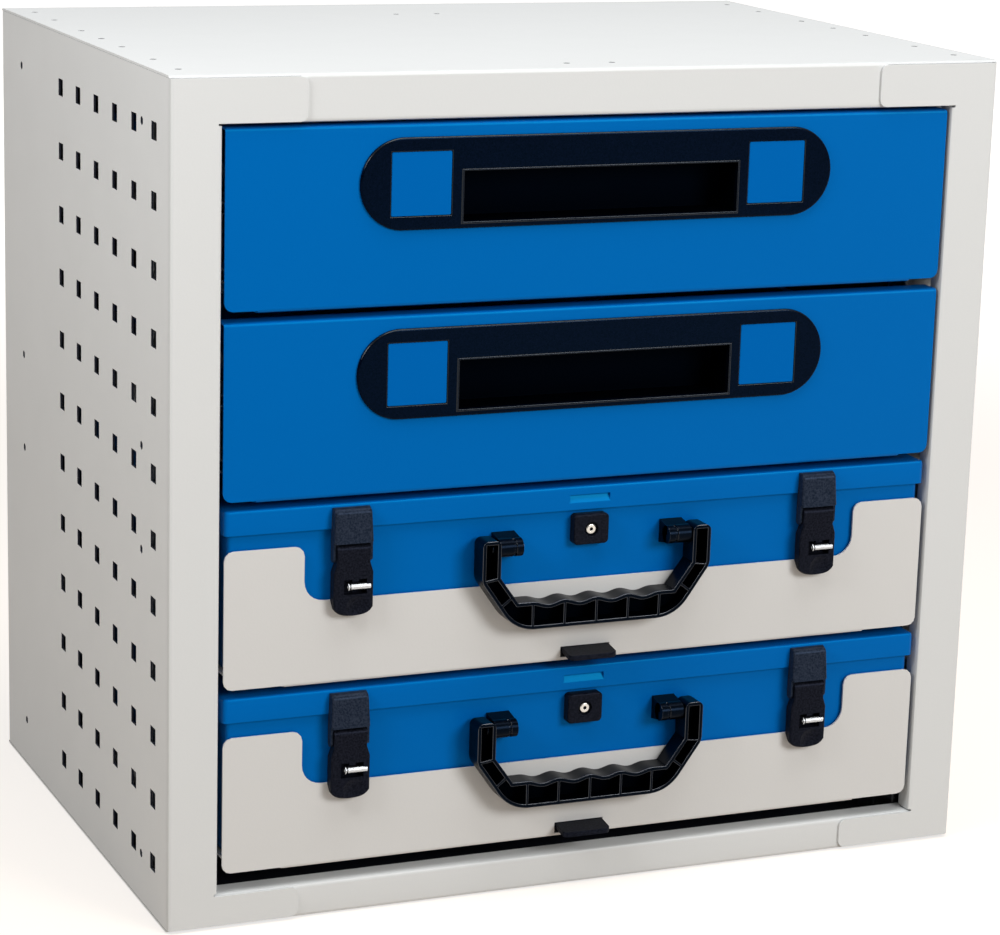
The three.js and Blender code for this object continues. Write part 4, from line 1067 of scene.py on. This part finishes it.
def cell_of(place):
    """The number of the cell that a place on the front lies in, from the left arm round."""
    across = abs(place.x)
    if place.z < knee_z and across < scallop_half:
        return ARM_CELLS + int((place.x + scallop_half) / SCALLOP_PITCH)
    corner, meet = first_web
    web_x = -corner.lerp(meet, (place.z - corner.y) / (meet.y - corner.y)).x
    from_end = 0 if place.z > knee_z else 1 if across > web_x else 2
    return from_end if place.x < 0 else CELLS - 1 - from_end


paint(handle, handle_plastic)
# Painted shade: the second finish, the nearly black plastic, goes on the pushed-in hollows.
handle.data.materials.append(hollow_plastic)
handle.active_material_index = len(handle.data.materials) - 1
only(handle)
bpy.ops.object.shade_flat()
bpy.ops.object.mode_set(mode="EDIT")
pick(handle, "faces", lambda face: face.normal.y < -FACING)
bpy.ops.mesh.inset(thickness=HANDLE_RIM)
bpy.ops.mesh.faces_shade_smooth()
hollow = handle_high.y - handle_low.y - HANDLE_FLOOR
for cell in range(CELLS):
    pick(handle, "faces", lambda face: face.smooth and face.normal.y < -FACING
         and cell_of(face.calc_center_median()) == cell)
    bpy.ops.mesh.inset(thickness=HANDLE_WEB / 2)
    bpy.ops.mesh.faces_shade_flat()
    bpy.ops.mesh.extrude_region_move(TRANSFORM_OT_translate={"value": (0, hollow, 0)})
    bpy.ops.mesh.select_more()
    bpy.ops.object.material_slot_assign()
bpy.ops.object.mode_set(mode="OBJECT")
round_edges(handle, lambda edge: runs_along(edge, Y) and lies_at(edge, Z, handle_high.z),
            ARM_ROUND, segments=6)
round_edges(handle, lambda edge: runs_along(edge, Y) and lies_at(edge, Z, knee_z)
            and abs(abs(centre_of(edge).x) - handle_half) < DOUBLED, KNEE_ROUND, segments=5)
# Painted highlight: the broken edges get the glossier edge plastic.
break_edges(handle, HANDLE_EDGE, segments=3, angle=SLIGHT_ANGLE, edge_material=polished_edge)
edge_slot = len(handle.data.materials) - 1
rim_back = handle_low.y + HANDLE_WEB
skin_back = handle_high.y - HANDLE_WEB
# Painted shade: edge faces inside a hollow go back to the nearly black plastic.
paint_where(handle, hollow_plastic, lambda face: face.material_index == edge_slot
            and rim_back < face.calc_center_median().y < skin_back)
second_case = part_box("case_2_handle")[0] - handle_low
second_handle = moved_copy(handle, "case_2_handle_moulding", second_case)
for number, piece in ((1, handle), (2, second_handle)):
    stands_for(piece, f"case_{number}_handle")
print("handle", len(handle.data.polygons), "faces")

# %% [markdown]
# ## Handle brackets
# Each arm turns on a pin in a bracket: a round boss with two moulded rings, on a foot that
# slopes up to it from the case. A rod makes the boss, two wider rods make the rings, a thin
# one makes the pin, and a box whose front face is narrowed makes the foot. All are welded
# together. The right bracket is the left one's mirror image. Mirroring turns a mesh inside
# out, so its normals are worked out again, and so is the shading that it brought along.

# %% Model the first bracket and copy it
BOSS_RADIUS = 5.4 * MM
BOSS_GROOVE = 0.6 * MM
BOSS_GAP = 0.3 * MM
BOSS_EXTRA = 1.2 * MM
MAIN_RING_LENGTH = 8.6 * MM
END_RING_LENGTH = 4.0 * MM
ARM_PIN_RADIUS = 3.3 * MM
FOOT_FRONT_SHARE = 0.72

boss_low, boss_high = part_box("case_1_left_handle_bracket")
boss_axis_y = boss_low.y + BOSS_RADIUS
boss_axis_z = (boss_low.z + boss_high.z) / 2
pin_end = boss_low.x
boss_start = -arm_inner + BOSS_GAP
boss_end = boss_high.x + BOSS_EXTRA
boss_middle = (boss_start + boss_end) / 2
main_ring_x = boss_start + MAIN_RING_LENGTH / 2
end_ring_x = boss_end - END_RING_LENGTH / 2


def boss_rod(name, middle_x, radius, length, sides=48):
    """A rod on the axis of the boss."""
    return start_rod(name, X, (middle_x, boss_axis_y, boss_axis_z), radius, length, sides)


def mirrored_copy(piece, name):
    """The piece's mirror image across the middle of the cabinet."""
    twin = moved_copy(piece, name, (0, 0, 0))
    bpy.ops.object.mode_set(mode="EDIT")
    bpy.ops.mesh.select_all(action="SELECT")
    bpy.ops.transform.mirror(constraint_axis=(True, False, False), center_override=(0, 0, 0))
    bpy.ops.mesh.normals_make_consistent(inside=False)
    bpy.ops.mesh.customdata_custom_splitnormals_clear()
    bpy.ops.object.mode_set(mode="OBJECT")
    flat_shading(twin)
    return twin


bracket = start_box("case_1_left_handle_boss", (boss_start, boss_axis_y, boss_low.z),
                    (boss_end, boss_high.y, boss_high.z))
only(bracket)
bpy.ops.object.mode_set(mode="EDIT")
pick(bracket, "faces", lambda face: face.normal.y < -FACING)
bpy.ops.transform.resize(value=(1, 1, FOOT_FRONT_SHARE),
                         center_override=(boss_middle, boss_axis_y, boss_axis_z))
bpy.ops.object.mode_set(mode="OBJECT")
carve(bracket, boss_rod("boss", boss_middle, BOSS_RADIUS - BOSS_GROOVE, boss_end - boss_start), "UNION")
carve(bracket, boss_rod("ring", main_ring_x, BOSS_RADIUS, MAIN_RING_LENGTH), "UNION")
carve(bracket, boss_rod("ring", end_ring_x, BOSS_RADIUS, END_RING_LENGTH), "UNION")
arm_pin = boss_rod("arm_pin", (pin_end + boss_middle) / 2, ARM_PIN_RADIUS, boss_middle - pin_end, sides=32)
carve(bracket, arm_pin, "UNION")
paint(bracket, handle_plastic)
# Painted highlight: the bracket's broken edges get the glossier edge plastic.
break_edges(bracket, HANDLE_EDGE, edge_material=polished_edge)
print("bracket", len(bracket.data.polygons), "faces")


right_bracket = mirrored_copy(bracket, "case_1_right_handle_boss")
for side_name, piece in (("left", bracket), ("right", right_bracket)):
    lower = moved_copy(piece, f"case_2_{side_name}_handle_boss", second_case)
    for number, boss in ((1, piece), (2, lower)):
        stands_for(boss, f"case_{number}_{side_name}_handle_bracket")

# %% [markdown]
# ## Locks
# A small lock sits in the middle of each case. Its moulded plate has round corners and a
# soft front edge, and a round recess is carved into it. The face of the bright cylinder in
# the recess is a little domed, with the hole for the key in its middle. The cylinder is a
# piece of its own, because the key turns it: a rod whose front edge has a wide bevel.

# %% Model the first lock and copy it
LOCK_CORNER = 2.6 * MM
LOCK_EDGE = 1.1 * MM
LOCK_BREAK = 0.3 * MM
LOCK_SHORTER = 1.0 * MM
RECESS_RADIUS = 4.3 * MM
RECESS_DEPTH = 2.2 * MM
CYLINDER_RADIUS = 3.4 * MM
CYLINDER_SUNK = 0.6 * MM
CYLINDER_BACK = 4.5 * MM
CYLINDER_DOME = 1.3 * MM
CYLINDER_EDGE = 0.2 * MM
KEY_RADIUS = 1.0 * MM
KEY_DEPTH = 3.0 * MM

lock_low, lock_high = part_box("case_1_lock_plate")
lock_low.z += LOCK_SHORTER
lock_z = (lock_low.z + lock_high.z) / 2
lock = start_box("case_1_lock_housing", lock_low, lock_high)
round_edges(lock, lambda edge: runs_along(edge, Y), LOCK_CORNER, segments=6)
round_front(lock, lock_low.y, LOCK_EDGE, segments=4)
carve(lock, start_rod("recess", Y, (0, lock_low.y, lock_z), RECESS_RADIUS, 2 * RECESS_DEPTH))
paint(lock, latch_plastic)
break_edges(lock, LOCK_BREAK)

cylinder_front = lock_low.y + CYLINDER_SUNK
cylinder_back = lock_low.y + CYLINDER_BACK
cylinder = start_rod("case_1_lock_barrel", Y, (0, (cylinder_front + cylinder_back) / 2, lock_z),
                     CYLINDER_RADIUS, cylinder_back - cylinder_front)
round_front(cylinder, cylinder_front, CYLINDER_DOME, segments=5)
carve(cylinder, start_rod("keyhole", Y, (0, cylinder_front, lock_z), KEY_RADIUS, 2 * KEY_DEPTH, sides=24))
break_edges(cylinder, CYLINDER_EDGE, angle=SLIGHT_ANGLE)
paint(cylinder, nickel_plate)
for piece, node, slot in ((lock, "lock_plate", "black_plastic"), (cylinder, "lock_cylinder", "nickel")):
    twin = moved_copy(piece, piece.name.replace("case_1", "case_2"), second_case)
    for number, made in ((1, piece), (2, twin)):
        stands_for(made, f"case_{number}_{node}")
print("lock", len(lock.data.polygons), "faces")

# %% [markdown]
# ## Catches
# Under each case, a matte tab is pressed down to free the tray. Its measured solid has the
# right profile, so it is copied and its edges are broken as a mould's are. Only its nose,
# the part in front of the tray, is a little wider in the picture, so it is scaled there.

# %% Copy the catches and widen their noses
NOSE_WIDENING = 1.17
NOSE_START = 1.0 * MM
CATCH_EDGE = 0.35 * MM


def widen_nose(catch):
    """Widen the part of a catch that stands out of the tray."""
    only(catch)
    bpy.ops.object.mode_set(mode="EDIT")
    pick(catch, "verts", lambda point: point.co.y < lid_face - NOSE_START)
    bpy.ops.transform.resize(value=(NOSE_WIDENING, 1, 1), center_override=(0, 0, 0))
    bpy.ops.object.mode_set(mode="OBJECT")


for number in (1, 2):
    copied_sheet(f"tray_{number}_catch", latch_plastic, edge=CATCH_EDGE, shape=widen_nose)
print("catches ready")

# %% [markdown]
# ## Hardware that keeps its measured shape
# Posts, runners, guides and hinges are plain pressed steel and mostly hidden. Their solids
# are right as they are, so nothing stands for them and they only need their finish.

# %% Finish the plain hardware
plain_hardware = [solid for solid in frame["nodes"].values() if not solid.hide_render]
for solid in plain_hardware:
    solid.material_slots[0].material = zinc_plate
print(len(plain_hardware), "pieces of plain hardware")

# %% [markdown]
# ## Floor
# The floor is plain and pale. It is a mid tone to the light that it throws back, and it
# is lifted for the camera and for reflections, so that it reads as white and still keeps
# the soft shadow. Away from the cabinet its glow rises to pure white, as on a backdrop
# sheet that is lit from behind.

# %% Lay the floor
FLOOR_SIZE = 30.0
FLOOR_BELOW = 0.5 * MM
FLOOR_COLOUR = (0.44, 0.37, 0.30, 1)
FLOOR_GLOW = (0.67, 0.675, 0.68, 1)
PURE_WHITE = (1, 1, 1, 1)
FADE_START = 0.9
FADE_END = 2.4
bpy.ops.object.select_all(action="DESELECT")
bpy.ops.mesh.primitive_plane_add(size=FLOOR_SIZE, location=(0, 0, box_before[0].z - FLOOR_BELOW))
floor = bpy.context.object
floor.name = "floor"
floor_finish = Finish("floor_finish")
rays = floor_finish.node("ShaderNodeLightPath", output="Is Camera Ray")
glossy = floor_finish.node("ShaderNodeLightPath", output="Is Glossy Ray")
glass = floor_finish.node("ShaderNodeLightPath", output="Is Transmission Ray")
floor_finish.feed("Base Color", FLOOR_COLOUR)
floor_finish.feed("Roughness", 0.9)
floor_finish.feed("Specular IOR Level", 0.1)
place = floor_finish.node("ShaderNodeTexCoord", output="Object")
away = floor_finish.node("ShaderNodeVectorMath", {"operation": "LENGTH"}, {0: place}, output="Value")
fade = floor_finish.node("ShaderNodeMapRange", {"interpolation_type": "SMOOTHSTEP"},
                         {"Value": away, "From Min": FADE_START, "From Max": FADE_END})
floor_finish.feed("Emission Color", floor_finish.blend(fade, FLOOR_GLOW, PURE_WHITE))
floor_finish.feed("Emission Strength", rays + glossy + glass)
paint(floor, floor_finish.material)
print("floor ready")

# %% [markdown]
# ## Light
# The light is that of a studio: a wide soft lamp above, another in front on the right, a
# small one near the upper left, whose light fades over the side, and a broad one behind,
# which lights the backdrop and the cabinet's back and which the camera doesn't see. A pale
# surround fills the shadows, and is pure white to the camera. All are kept at the level at
# which a colour looks as it is written.

# %% Light the cabinet
SURROUND_LIGHT = 0.246
CABINET_MIDDLE = (0.0, 0.0, 0.24)
UPPER_LEFT = (-0.25, -0.1, 0.42)
LAMPS = (("backdrop", (0.6, 3.2, 1.0), CABINET_MIDDLE, (4.5, 2.6), 15.0),
         ("above", (0.2, -0.35, 1.9), CABINET_MIDDLE, (1.3, 1.0), 21.0),
         ("front", (1.0, -2.2, 1.2), CABINET_MIDDLE, (1.0, 0.8), 33.5),
         ("near", (-0.85, -0.45, 0.85), UPPER_LEFT, (0.35, 0.35), 3.9))
world = bpy.data.worlds.new("surround")
bpy.context.scene.world = world
world.use_nodes = True
surround = world.node_tree
background = surround.nodes["Background"]
path = surround.nodes.new("ShaderNodeLightPath")
seen = surround.nodes.new("ShaderNodeMath")
seen.operation = "ADD"
surround.links.new(path.outputs["Is Camera Ray"], seen.inputs[0])
surround.links.new(path.outputs["Is Transmission Ray"], seen.inputs[1])
level = surround.nodes.new("ShaderNodeMapRange")
level.inputs["To Min"].default_value = SURROUND_LIGHT
level.inputs["To Max"].default_value = 1.0
surround.links.new(seen.outputs[0], level.inputs["Value"])
surround.links.new(level.outputs[0], background.inputs["Strength"])
background.inputs["Color"].default_value = PURE_WHITE


def soft_lamp(name, place, target, size, power):
    """A rectangular lamp at a place, turned to its target."""
    lamp = bpy.data.lights.new(name, "AREA")
    lamp.shape = "RECTANGLE"
    lamp.size, lamp.size_y = size
    lamp.energy = power
    lamp_object = bpy.data.objects.new(name, lamp)
    bpy.context.scene.collection.objects.link(lamp_object)
    lamp_object.location = place
    lamp_object.rotation_euler = (Vector(target) - Vector(place)).to_track_quat("-Z", "Y").to_euler()


for lamp_settings in LAMPS:
    soft_lamp(*lamp_settings)
bpy.data.objects["backdrop"].visible_camera = False
bpy.context.scene.view_settings.view_transform = "Standard"
print(len(LAMPS), "lamps and the surround")
